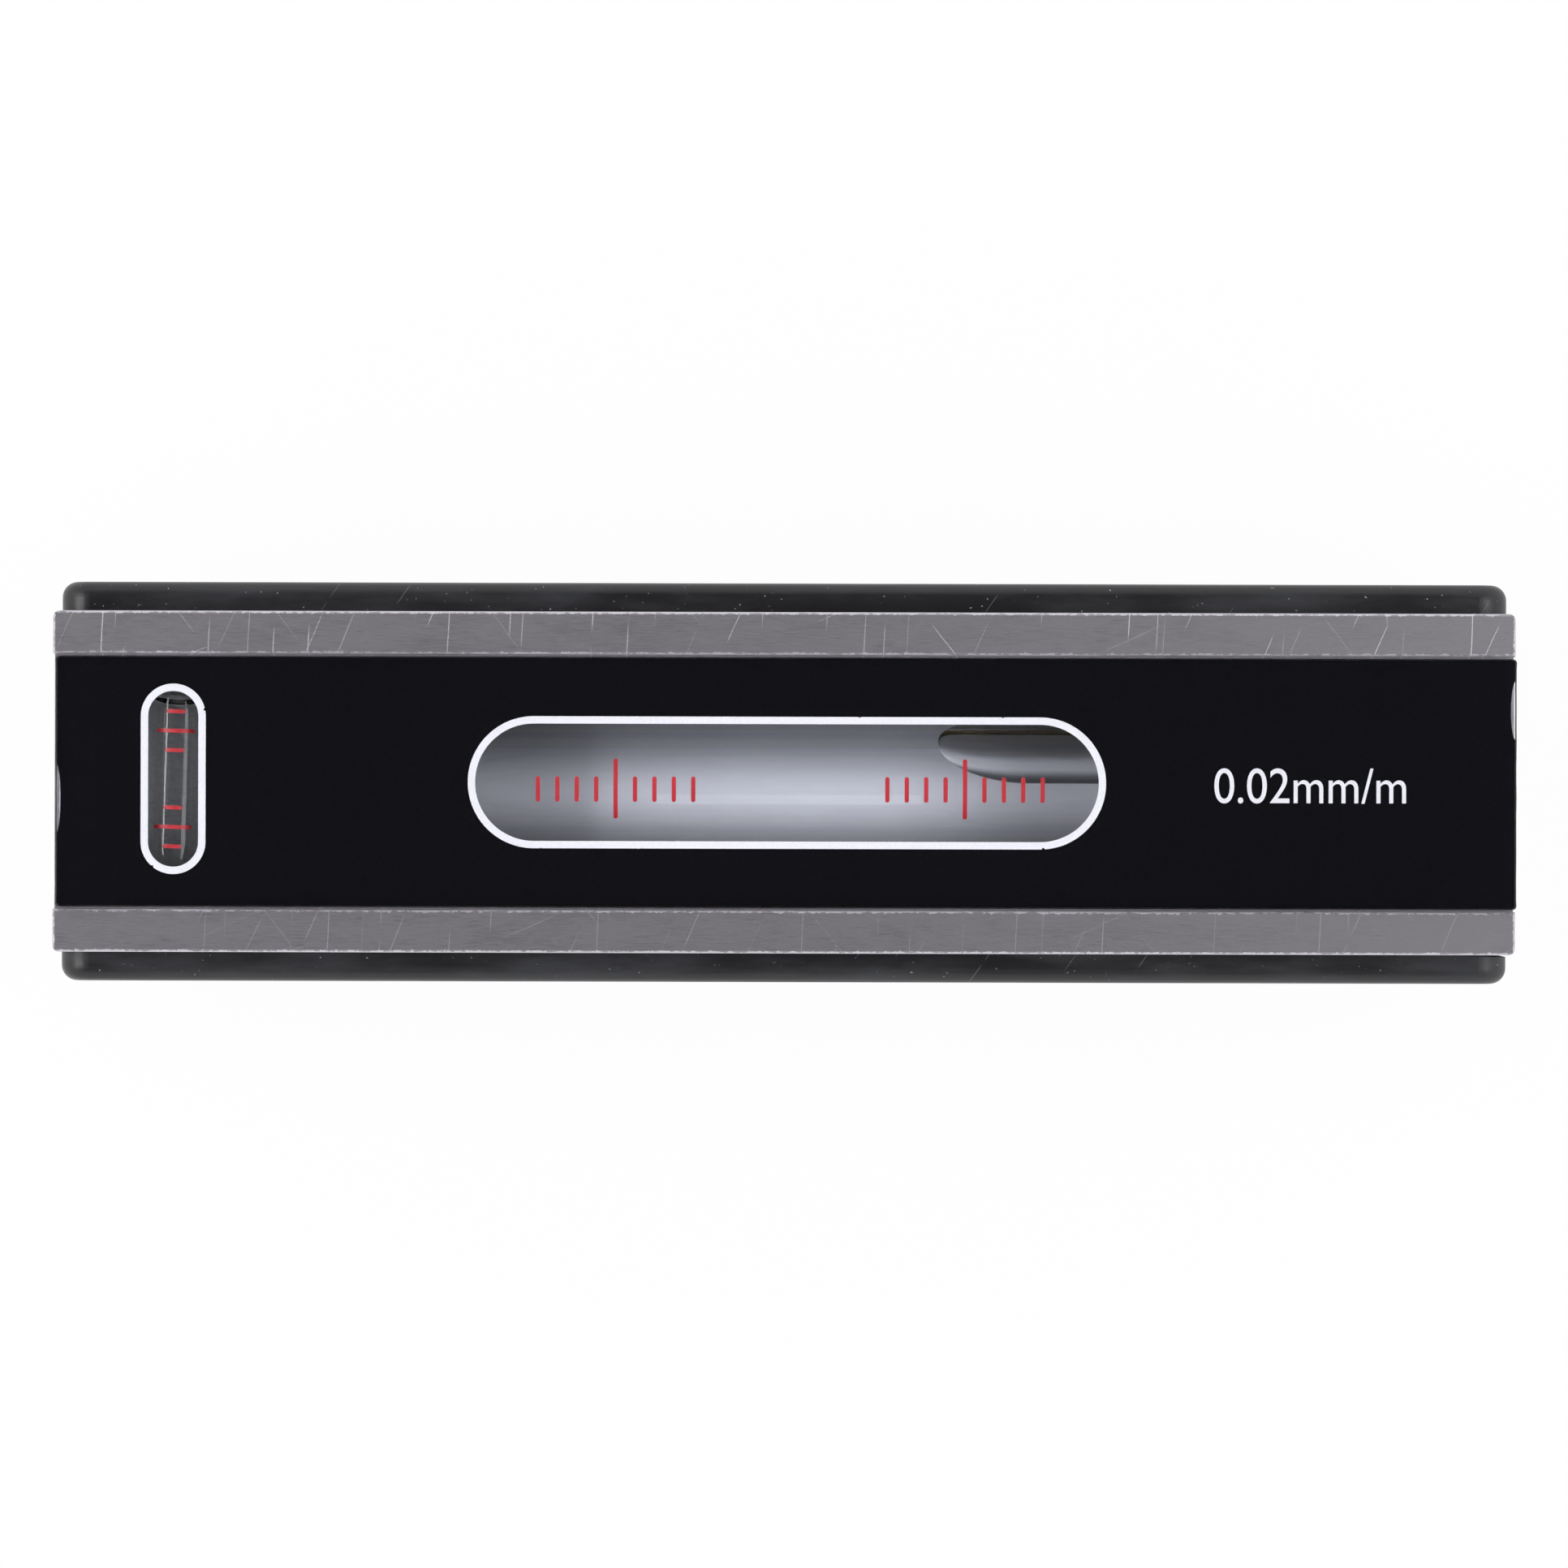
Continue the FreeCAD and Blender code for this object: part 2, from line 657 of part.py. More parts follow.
def make_zero_screw():
    radius = screw_diameter / 2
    head_radius = screw_head_diameter / 2
    head_top = head_underside + screw_head_height
    shank = cylinder(radius, (screw_x, 0, screw_end), UP, head_underside - screw_end)
    tip = [e for e in shank.Edges if abs(e.BoundBox.ZMax - screw_end) < 1e-6]
    shank = shank.makeChamfer(screw_tip_chamfer, tip)
    head = cylinder(head_radius, (screw_x, 0, head_underside), UP, screw_head_height)
    top = [e for e in head.Edges if abs(e.BoundBox.ZMin - head_top) < 1e-6]
    head = head.makeChamfer(screw_tip_chamfer, top)
    slot = block(screw_x - head_radius, screw_x + head_radius, -screw_slot_width / 2,
                 screw_slot_width / 2, head_top - screw_slot_depth, head_top + OVERCUT)
    return join([shank, head]).cut(slot)


def make_thrust_washer():
    start = (screw_x, 0, washer_underside)
    ring = cylinder(washer_diameter / 2, start, UP, washer_thickness - washer_gap)
    return ring.cut(cylinder(screw_diameter / 2 + washer_clearance, start, UP, washer_thickness))


def make_carrier_spring():
    """Coil spring of square wire with ground ends, round the screw below the tongue."""
    height = spring_top - spring_seat
    radius = spring_mean_diameter / 2
    helix = Part.makeHelix(spring_pitch, height, radius)
    half_wire = spring_wire / 2
    corners = [(-half_wire, -half_wire), (half_wire, -half_wire), (half_wire, half_wire),
               (-half_wire, half_wire)]
    points = [FreeCAD.Vector(radius + out, 0, up) for out, up in corners]
    section = Part.makePolygon(points + points[:1])
    coil = Part.Wire(helix.Edges).makePipeShell([section], True, True)
    coil.translate(FreeCAD.Vector(screw_x, 0, spring_seat))
    reach = 2 * spring_mean_diameter
    keep = block(screw_x - reach, screw_x + reach, -reach, reach, spring_seat, spring_top)
    return coil.common(keep)


# ---------------------------------------------------------------- cross vial
def skewed(shape):
    """Turn a shape made along Y through the small skew of the cross vial."""
    shape.rotate(FreeCAD.Vector(cross_vial_x, cross_vial_y, cross_axis), UP, -cross_vial_skew)
    return shape


def cross_rod(radius, y_low, y_high):
    start = (cross_vial_x, cross_vial_y + y_low, cross_axis)
    return cylinder(radius, start, ACROSS, y_high - y_low)


def make_cross_cradle():
    fit = cradle_fit
    limits = (cross_vial_x - cross_pocket_half_x + fit, cross_vial_x + cross_pocket_half_x - fit,
              cross_vial_y - cross_pocket_half_y + fit, cross_vial_y + cross_pocket_half_y - fit,
              cross_pocket_floor, cross_axis + cradle_lip)
    cradle = rounded_block(limits, cradle_side_wall, UP)
    half = cross_vial_length / 2
    trough = skewed(cross_rod(cross_radius + fit / 2, -half - fit, half + fit))
    mouth = skewed(block(cross_vial_x - cross_radius, cross_vial_x + cross_radius,
                         cross_vial_y - half - fit, cross_vial_y + half + fit,
                         cross_axis, cross_axis + cradle_lip + OVERCUT))
    return cradle.cut(trough).cut(mouth)


def make_cross_glass():
    half = cross_vial_length / 2
    tube = cross_rod(cross_radius, -half, half)
    return skewed(tube.cut(cross_rod(cross_bore_radius, -half, half)))


def make_cross_caps():
    """The cement stoppers in both ends of the glass tube."""
    half = cross_vial_length / 2
    radius = cross_bore_radius - liquid_fit
    low = cross_rod(radius, -half, -half + cross_cap_length)
    high = cross_rod(radius, half - cross_cap_length, half)
    return skewed(Part.makeCompound([low, high]))


def cross_bubble_form(grow):
    end = cross_vial_length / 2 - cross_cap_length - cross_bubble_end_gap + grow
    start = end - cross_bubble_length - 2 * grow
    body = cross_rod(cross_bore_radius - bubble_clearance + grow, start, end)
    return chamfer_ends(body, cross_bubble_chamfer)


def make_cross_bubble():
    return skewed(cross_bubble_form(0))


def make_cross_liquid():
    reach = cross_vial_length / 2 - cross_cap_length - liquid_fit
    rod = cross_rod(cross_bore_radius - liquid_fit, -reach, reach)
    return skewed(rod.cut(cross_bubble_form(liquid_fit)))


def make_cross_marks():
    half = cross_vial_length / 2
    skin = cross_rod(cross_radius + cross_mark_height, -half, half)
    skin = skin.cut(cross_rod(cross_radius, -half, half))
    marks = []
    for group in (-1, 1):
        for step in (-1, 0, 1):
            y = cross_vial_y + group * cross_group_spacing / 2 + step * cross_mark_pitch
            length = cross_mark_long if step == 0 else cross_mark_short
            line = block(cross_vial_x - length / 2, cross_vial_x + length / 2, y - cross_mark_width / 2,
                         y + cross_mark_width / 2, cross_axis, cross_axis + 2 * cross_radius)
            marks.append(skin.common(line))
    return skewed(Part.makeCompound(marks))


# ---------------------------------------------------------------- all nodes
def make_nodes():
    return {
        "casting": make_casting(),
        "cover_plate": make_cover_plate(),
        "cover_backprint": make_cover_backprint(),
        "window_borders": make_window_borders(),
        "cover_adhesive": make_cover_adhesive(),
        "front_grip": make_grip(-1, grip_lift),
        "rear_grip": make_grip(1, 0),
        "front_grip_screws": make_grip_screws(-1),
        "rear_grip_screws": make_grip_screws(1),
        "carrier_tube": make_carrier_tube(),
        "carrier_pivot_plug": make_pivot_plug(),
        "carrier_adjusting_plug": make_adjusting_plug(),
        "vial_lining": make_vial_lining(),
        "main_vial_beds": make_vial_beds(),
        "main_vial_glass": make_main_glass(),
        "main_vial_liquid": make_main_liquid(),
        "main_bubble": bubble_form(0),
        "main_scale_marks": make_main_marks(),
        "pivot_pin": make_pivot_pin(),
        "zero_screw": make_zero_screw(),
        "thrust_washer": make_thrust_washer(),
        "carrier_spring": make_carrier_spring(),
        "cross_vial_cradle": make_cross_cradle(),
        "cross_vial_glass": make_cross_glass(),
        "cross_vial_caps": make_cross_caps(),
        "cross_vial_liquid": make_cross_liquid(),
        "cross_bubble": make_cross_bubble(),
        "cross_scale_marks": make_cross_marks(),
    }


os.makedirs("parts", exist_ok=True)
for name, shape in make_nodes().items():
    shape.exportStep(os.path.join("parts", name + ".step"))
    print(f"{name}: {len(shape.Solids)} solids, {shape.Volume:.1f} mm3, valid {shape.isValid()}")
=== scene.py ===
import bpy
import bmesh
import math
from mathutils import Matrix, Vector, noise


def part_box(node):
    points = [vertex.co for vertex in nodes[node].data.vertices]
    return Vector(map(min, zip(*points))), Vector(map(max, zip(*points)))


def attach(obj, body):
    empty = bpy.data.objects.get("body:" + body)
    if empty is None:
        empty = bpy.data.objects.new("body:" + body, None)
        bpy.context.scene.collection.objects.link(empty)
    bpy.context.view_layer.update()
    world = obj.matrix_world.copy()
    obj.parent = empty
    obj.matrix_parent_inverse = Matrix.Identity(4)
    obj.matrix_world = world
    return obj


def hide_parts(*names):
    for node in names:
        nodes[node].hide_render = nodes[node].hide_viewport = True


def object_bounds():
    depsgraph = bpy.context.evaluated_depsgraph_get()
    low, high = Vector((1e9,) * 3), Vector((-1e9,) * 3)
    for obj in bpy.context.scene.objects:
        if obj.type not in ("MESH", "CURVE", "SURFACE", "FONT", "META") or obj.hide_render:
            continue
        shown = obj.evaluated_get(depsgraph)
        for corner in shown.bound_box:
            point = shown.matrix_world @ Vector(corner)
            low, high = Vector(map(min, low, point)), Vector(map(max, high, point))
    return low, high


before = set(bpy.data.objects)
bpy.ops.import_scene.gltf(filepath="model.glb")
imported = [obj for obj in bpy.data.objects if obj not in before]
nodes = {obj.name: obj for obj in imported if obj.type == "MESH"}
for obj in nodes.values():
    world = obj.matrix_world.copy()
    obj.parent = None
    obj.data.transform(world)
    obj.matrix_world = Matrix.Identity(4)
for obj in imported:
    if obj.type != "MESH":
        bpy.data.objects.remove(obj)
cadLow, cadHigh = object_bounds()
mm = 0.001
print("frame loaded,", len(nodes), "pieces")


def corners(node):
    # a node's lowest and highest corner in millimetres
    return [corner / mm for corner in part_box(node)]


# small helpers for node trees, shared by the finishes and the geometry trees

def put(tree, kind, inputs=None, **settings):
    node = tree.nodes.new(kind)
    for key, value in settings.items():
        setattr(node, key, value)
    for key, value in (inputs or {}).items():
        if isinstance(value, bpy.types.NodeSocket):
            tree.links.new(value, node.inputs[key])
        else:
            node.inputs[key].default_value = value
    return node


def calc(tree, operation, *values, clamp=False):
    inputs = dict(enumerate(values))
    return put(tree, "ShaderNodeMath", inputs, operation=operation, use_clamp=clamp).outputs[0]


def ease(tree, value, low, high, start=0.0, end=1.0):
    inputs = {"Value": value, "From Min": low, "From Max": high, "To Min": start, "To Max": end}
    return put(tree, "ShaderNodeMapRange", inputs, interpolation_type="SMOOTHSTEP").outputs[0]


def mixed(tree, amount, first, second):
    inputs = {0: amount, 6: (*first, 1.0) if isinstance(first, tuple) else first,
              7: (*second, 1.0) if isinstance(second, tuple) else second}
    return put(tree, "ShaderNodeMix", inputs, data_type="RGBA").outputs[2]


def millimetres(tree, stretch=(1, 1, 1), turn=(0, 0, 0), centre=(0, 0, 0)):
    # Object coordinates in millimetres, turned about a centre and then stretched
    spot = put(tree, "ShaderNodeTexCoord").outputs["Object"]
    spot = put(tree, "ShaderNodeMapping", {
        "Vector": spot, "Scale": (1 / mm,) * 3, "Location": [-c for c in centre]}).outputs[0]
    if any(turn):
        spot = put(tree, "ShaderNodeMapping", {"Vector": spot, "Rotation": turn}).outputs[0]
    if tuple(stretch) != (1, 1, 1):
        spot = put(tree, "ShaderNodeMapping", {"Vector": spot, "Scale": stretch}).outputs[0]
    return spot


def cloud(tree, spot, scale=1.0, detail=2.0, roughness=0.5, distortion=0.0):
    inputs = {"Vector": spot, "Scale": scale, "Detail": detail,
              "Roughness": roughness, "Distortion": distortion}
    return put(tree, "ShaderNodeTexNoise", inputs).outputs["Fac"]


def axes(tree, spot):
    return put(tree, "ShaderNodeSeparateXYZ", {0: spot}).outputs


def newFinish(name, sockets):
    material = bpy.data.materials.new(name)
    material.use_nodes = True
    shader = material.node_tree.nodes["Principled BSDF"]
    for key, value in sockets.items():
        colour = isinstance(value, tuple) and len(value) == 3
        shader.inputs[key].default_value = (*value, 1.0) if colour else value
    return material, material.node_tree, shader


def feed(tree, shader, key, socket):
    tree.links.new(socket, shader.inputs[key])


def relief(tree, shader, height, depth, strength=1.0):
    inputs = {"Height": height, "Strength": strength, "Distance": depth * mm}
    feed(tree, shader, "Normal", put(tree, "ShaderNodeBump", inputs).outputs[0])


def letLampsThrough(material):
    # clear pieces cast no hard shadow: a shadow ray goes straight on
    tree = material.node_tree
    shader = tree.nodes["Principled BSDF"]
    path = put(tree, "ShaderNodeLightPath")
    gap = put(tree, "ShaderNodeBsdfTransparent")
    both = put(tree, "ShaderNodeMixShader", {
        0: path.outputs["Is Shadow Ray"], 1: shader.outputs[0], 2: gap.outputs[0]})
    tree.links.new(both.outputs[0], tree.nodes["Material Output"].inputs["Surface"])


def scratches(tree, angle, spacing, width, reach, share, seed, shift=0.0):
    # straight scratches: one chance in each cell across the lay, of a random start and length
    spot = millimetres(tree)
    spot = put(tree, "ShaderNodeVectorMath", {
        0: spot, 1: put(tree, "ShaderNodeCombineXYZ", {0: shift}).outputs[0]}, operation="ADD").outputs[0]
    spot = put(tree, "ShaderNodeMapping", {
        "Vector": spot, "Rotation": (0, 0, math.radians(angle))}).outputs[0]
    across, along, _ = axes(tree, spot)
    sway = cloud(tree, put(tree, "ShaderNodeCombineXYZ", {0: along, 1: float(seed)}).outputs[0], 0.12, 1.0)
    across = calc(tree, "ADD", across, calc(tree, "MULTIPLY", sway, 0.5))
    lane = calc(tree, "DIVIDE", across, spacing)
    laneIndex = calc(tree, "FLOOR", lane)
    laneDraw = put(tree, "ShaderNodeTexWhiteNoise", {
        "Vector": put(tree, "ShaderNodeCombineXYZ", {0: laneIndex, 1: float(seed)}).outputs[0]})
    draw = put(tree, "ShaderNodeSeparateColor", {0: laneDraw.outputs["Color"]}).outputs
    offset = calc(tree, "SUBTRACT", calc(tree, "FRACT", lane), ease(tree, draw[0], 0.0, 1.0, 0.15, 0.85))
    distance = calc(tree, "MULTIPLY", calc(tree, "ABSOLUTE", offset), spacing)
    stretch = calc(tree, "ADD", calc(tree, "DIVIDE", along, reach), calc(tree, "MULTIPLY", draw[1], 7.0))
    pieceDraw = put(tree, "ShaderNodeTexWhiteNoise", {
        "Vector": put(tree, "ShaderNodeCombineXYZ", {
            0: laneIndex, 1: calc(tree, "FLOOR", stretch), 2: float(seed)}).outputs[0]})
    chosen = calc(tree, "LESS_THAN", pieceDraw.outputs["Value"], share)
    end = calc(tree, "PINGPONG", stretch, 0.5)
    fade = ease(tree, end, 0.02, 0.25)
    depth = ease(tree, draw[2], 0.0, 1.0, 0.35, 1.0)
    line = ease(tree, distance, width * 0.3, width, 1.0, 0.0)
    mask = calc(tree, "MULTIPLY", calc(tree, "MULTIPLY", line, chosen), calc(tree, "MULTIPLY", fade, depth))
    return mask


# finishes, one function each, by the record's slot

ironLook = {
    "grey": (0.455, 0.435, 0.475), "dark": (0.315, 0.30, 0.33), "bright": (0.86, 0.84, 0.90),
    # the first two values on the next line set the painted shade on the front rail, the third its extra
    # roughness
    "frontShadeTone": 0.87, "frontShadeShare": 0.45, "frontRough": 0.06,
    "asCast": (0.10, 0.10, 0.11), "roughness": (0.36, 0.50), "railInner": 13.1, "railOuter": 17.5,
    "halfLength": 75.0, "ledge": 37.0, "toneSpan": (0.70, 1.25), "wornReach": (0.05, 0.42),
    "insideWall": (12.9, 13.05), "baseEdge": (8.0, 9.5), "rearShift": 41.0, "frontScratches": 0.45,
    "scratches": [  # angle, spacing, width, reach, share of the cells that have one, seed
        (2.0, 2.2, 0.055, 9.0, 0.30, 3), (24.0, 3.4, 0.050, 6.0, 0.22, 11),
        (-38.0, 4.6, 0.045, 7.0, 0.20, 23), (66.0, 5.5, 0.045, 8.0, 0.18, 31)],
}


def groundIron():
    look = ironLook
    material, tree, shader = newFinish("groundIron", {"Metallic": 1.0, "Base Color": look["grey"]})
    x, y, z = axes(tree, millimetres(tree))
    sideways = calc(tree, "ABSOLUTE", y)
    lengthways = calc(tree, "ABSOLUTE", x)
    longLay = cloud(tree, millimetres(tree, (0.45, 9.0, 9.0)), 1.0, 3.0, 0.6)
    fineLay = cloud(tree, millimetres(tree, (1.6, 22.0, 22.0)), 1.0, 1.0)
    endLay = cloud(tree, millimetres(tree, (9.0, 0.5, 9.0)), 1.0, 3.0, 0.6)
    onEnd = ease(tree, lengthways, look["halfLength"] - 0.2, look["halfLength"] - 0.05)
    lay = put(tree, "ShaderNodeMix", {0: onEnd, 2: longLay, 3: endLay}).outputs[0]
    patches = cloud(tree, millimetres(tree, (0.10, 0.35, 0.35)), 1.0, 3.0, 0.6)
    tone = calc(tree, "ADD", calc(tree, "MULTIPLY", lay, 0.9), calc(tree, "MULTIPLY", fineLay, 0.5))
    tone = calc(tree, "ADD", tone, calc(tree, "MULTIPLY", patches, 0.5))
    colour = mixed(tree, ease(tree, tone, *look["toneSpan"]), look["dark"], look["grey"])
    # painted shade: the front rail is painted a little darker than the rear one, where less light falls; it
    # is also a little rougher and less scratched
    rear = ease(tree, y, -1.0, 1.0)
    front = calc(tree, "SUBTRACT", 1.0, rear)
    paintedFrontShade = tuple(part * look["frontShadeTone"] for part in look["dark"])
    colour = mixed(tree, calc(tree, "MULTIPLY", front, look["frontShadeShare"]), colour, paintedFrontShade)
    tone = calc(tree, "SUBTRACT", tone, calc(tree, "MULTIPLY", front, look["frontRough"]))
    shift = calc(tree, "MULTIPLY", rear, look["rearShift"])
    marks = 0.0
    for layer in look["scratches"]:
        marks = calc(tree, "MAXIMUM", marks, scratches(tree, *layer, shift))
    marks = calc(tree, "MULTIPLY", marks, ease(tree, rear, 0.0, 1.0, look["frontScratches"], 1.0))
    inner = calc(tree, "ABSOLUTE", calc(tree, "SUBTRACT", sideways, look["railInner"]))
    outer = calc(tree, "ABSOLUTE", calc(tree, "SUBTRACT", sideways, look["railOuter"]))
    ends = calc(tree, "ABSOLUTE", calc(tree, "SUBTRACT", lengthways, look["halfLength"]))
    ragged = cloud(tree, millimetres(tree, (1.4, 1.4, 1.4)), 1.0, 4.0, 0.7)
    reach = ease(tree, ragged, 0.35, 0.75, *look["wornReach"])
    edge = calc(tree, "MINIMUM", calc(tree, "MINIMUM", inner, outer), ends)
    worn = calc(tree, "LESS_THAN", edge, reach)
    worn = calc(tree, "MULTIPLY", worn, ease(tree, z, look["ledge"], look["ledge"] + 1.5))
    light = calc(tree, "MAXIMUM", calc(tree, "MULTIPLY", marks, 0.85), calc(tree, "MULTIPLY", worn, 0.55))
    colour = mixed(tree, light, colour, look["bright"])
    below = ease(tree, z, look["ledge"] - 0.4, look["ledge"] + 0.4, 1.0, 0.0)
    within = calc(tree, "MULTIPLY", ease(tree, sideways, *look["insideWall"], 1.0, 0.0), below)
    within = calc(tree, "MULTIPLY", within, ease(tree, z, *look["baseEdge"]))
    within = calc(tree, "MULTIPLY", within, calc(tree, "SUBTRACT", 1.0, onEnd))
    colour = mixed(tree, within, colour, look["asCast"])
    feed(tree, shader, "Base Color", colour)
    rough = ease(tree, tone, *look["toneSpan"], look["roughness"][1], look["roughness"][0])
    feed(tree, shader, "Roughness", calc(tree, "ADD", rough, calc(tree, "MULTIPLY", within, 0.2)))
    height = calc(tree, "SUBTRACT", calc(tree, "MULTIPLY", tone, 0.5), marks)
    relief(tree, shader, height, 0.010, 0.6)
    return material


mouldingLook = {"body": (0.012, 0.012, 0.014), "dusty": (0.030, 0.031, 0.037), "roughness": (0.30, 0.44)}


def blackMoulding():
    look = mouldingLook
    material, tree, shader = newFinish("blackMoulding", {"Base Color": look["body"]})
    pebble = cloud(tree, millimetres(tree, (5.0, 5.0, 5.0)), 1.0, 3.0, 0.6)
    handled = cloud(tree, millimetres(tree, (0.06, 0.25, 0.25)), 1.0, 4.0, 0.6)
    specks = ease(tree, cloud(tree, millimetres(tree, (3.0, 3.0, 3.0)), 1.0, 1.0), 0.76, 0.80)
    marks = scratches(tree, 35.0, 6.0, 0.04, 3.0, 0.18, 41)
    dust = calc(tree, "MAXIMUM", specks, calc(tree, "MULTIPLY", marks, 0.8))
    body = mixed(tree, ease(tree, handled, 0.40, 0.75), look["body"], look["dusty"])
    feed(tree, shader, "Base Color", mixed(tree, dust, body, (0.30, 0.31, 0.34)))
    feed(tree, shader, "Roughness", ease(tree, handled, 0.3, 0.7, *look["roughness"]))
    relief(tree, shader, pebble, 0.012, 0.5)
    return material


def plainMetal(name, colour, darker, roughness, lay, metallic=1.0):
    material, tree, shader = newFinish(name, {"Metallic": metallic, "Base Color": colour})
    turned = cloud(tree, millimetres(tree, lay), 1.0, 3.0, 0.6)
    stained = cloud(tree, millimetres(tree, (0.6, 0.6, 0.6)), 1.0, 4.0, 0.6)
    tone = calc(tree, "ADD", calc(tree, "MULTIPLY", turned, 0.6), calc(tree, "MULTIPLY", stained, 0.5))
    feed(tree, shader, "Base Color", mixed(tree, ease(tree, tone, 0.35, 0.80), darker, colour))
    feed(tree, shader, "Roughness", ease(tree, tone, 0.35, 0.80, *roughness))
    relief(tree, shader, turned, 0.006, 0.5)
    return material


def printed(name, colour, fleck, roughness, scale, spread, gloss=0.5):
    material, tree, shader = newFinish(name, {"Base Color": colour, "Specular IOR Level": gloss})
    tooth = cloud(tree, millimetres(tree, (scale,) * 3), 1.0, 3.0, 0.7)
    feed(tree, shader, "Base Color", mixed(tree, ease(tree, tooth, *spread), fleck, colour))
    feed(tree, shader, "Roughness", ease(tree, tooth, 0.3, 0.7, *roughness))
    relief(tree, shader, tooth, 0.004, 0.4)
    return material


def clearPiece(name, index, tintColour, roughness, swirl):
    sockets = {"Base Color": tintColour, "Transmission Weight": 1.0, "IOR": index, "Roughness": roughness}
    material, tree, shader = newFinish(name, sockets)
    ripple = cloud(tree, millimetres(tree, swirl[0]), 1.0, 2.0)
    relief(tree, shader, ripple, swirl[1], 0.5)
    letLampsThrough(material)
    return material


acrylicLook = {"index": 1.49, "body": (0.985, 0.99, 1.0), "sawn": 0.38}


def clearAcrylic():
    look = acrylicLook
    material, tree, shader = newFinish("clearAcrylic", {
        "Base Color": look["body"], "Transmission Weight": 1.0, "IOR": look["index"]})
    low, high = corners("cover_plate")
    x, y, z = axes(tree, millimetres(tree, centre=tuple((low + high) / 2)))
    half = (high - low) / 2
    side = ease(tree, calc(tree, "ABSOLUTE", y), half.y - 0.1, half.y - 0.02)
    end = ease(tree, calc(tree, "ABSOLUTE", x), half.x - 0.25, half.x - 0.12)
    sawn = calc(tree, "MAXIMUM", side, end)
    haze = cloud(tree, millimetres(tree, (0.05, 0.09, 0.09)), 1.0, 4.0, 0.6)
    hair = scratches(tree, 3.0, 4.0, 0.03, 22.0, 0.30, 57)
    hair = calc(tree, "MAXIMUM", hair, scratches(tree, 78.0, 4.5, 0.03, 14.0, 0.16, 63))
    top = calc(tree, "ADD", ease(tree, haze, 0.45, 0.75, 0.015, 0.05), calc(tree, "MULTIPLY", hair, 0.12))
    rough = put(tree, "ShaderNodeMix", {0: sawn, 2: top, 3: look["sawn"]}).outputs[0]
    feed(tree, shader, "Roughness", rough)
    saw = cloud(tree, millimetres(tree, (7.0, 7.0, 0.6)), 1.0, 2.0)
    height = calc(tree, "SUBTRACT", calc(tree, "MULTIPLY", saw, sawn), calc(tree, "MULTIPLY", hair, 0.15))
    relief(tree, shader, height, 0.02, 0.5)
    letLampsThrough(material)
    return material


# paper is the colour along the painted bright line, shade the painted shade beside it; dimLeft and dimRight
# are painted shade at the ends
liningLook = {"paper": (0.575, 0.585, 0.675), "shade": (0.098, 0.102, 0.124), "turn": -5.5, "spread": 16.0,
              "fullFrom": -23.0, "fullTo": 8.0, "fadeLeft": 12.0, "fadeRight": 14.0,
              "dimLeft": 0.92, "dimRight": 0.78}


def liningPaper():
    # white paper round the underside of the vial, with painted light: a painted bright line where the vial
    # gathers light, painted shade either side of it, and painted shade towards both ends
    look = liningLook
    low, high = corners("main_vial_glass")
    material, tree, shader = newFinish("liningPaper", {"Base Color": look["paper"], "Roughness": 0.75})
    x, y, z = axes(tree, millimetres(tree, centre=tuple((low + high) / 2)))
    # painted light: brightest along one line about the vial's axis, fading into painted shade either side
    angle = calc(tree, "ARCTAN2", y, calc(tree, "MULTIPLY", z, -1.0))
    apart = calc(tree, "DIVIDE", calc(tree, "SUBTRACT", angle, math.radians(look["turn"])),
                 math.radians(look["spread"]))
    paintedLightLine = calc(tree, "EXPONENT", calc(tree, "MULTIPLY", calc(tree, "MULTIPLY", apart, apart), -1.0))
    fibre = cloud(tree, millimetres(tree, (0.3, 3.0, 3.0)), 1.0, 3.0)
    paintedLightLine = calc(tree, "MULTIPLY", paintedLightLine, ease(tree, fibre, 0.2, 0.8, 0.94, 1.0))
    # painted shade: darker towards both ends of the window, where the cover shades the paper
    paintedShadeLeft = ease(tree, x, look["fullFrom"] - look["fadeLeft"], look["fullFrom"], look["dimLeft"], 1.0)
    paintedShadeRight = ease(tree, x, look["fullTo"], look["fullTo"] + look["fadeRight"], 1.0, look["dimRight"])
    colour = mixed(tree, paintedLightLine, look["shade"], look["paper"])
    colour = put(tree, "ShaderNodeVectorMath", {
        0: colour, "Scale": calc(tree, "MULTIPLY", paintedShadeLeft, paintedShadeRight)}, operation="SCALE").outputs[0]
    feed(tree, shader, "Base Color", colour)
    relief(tree, shader, fibre, 0.01, 0.3)
    return material


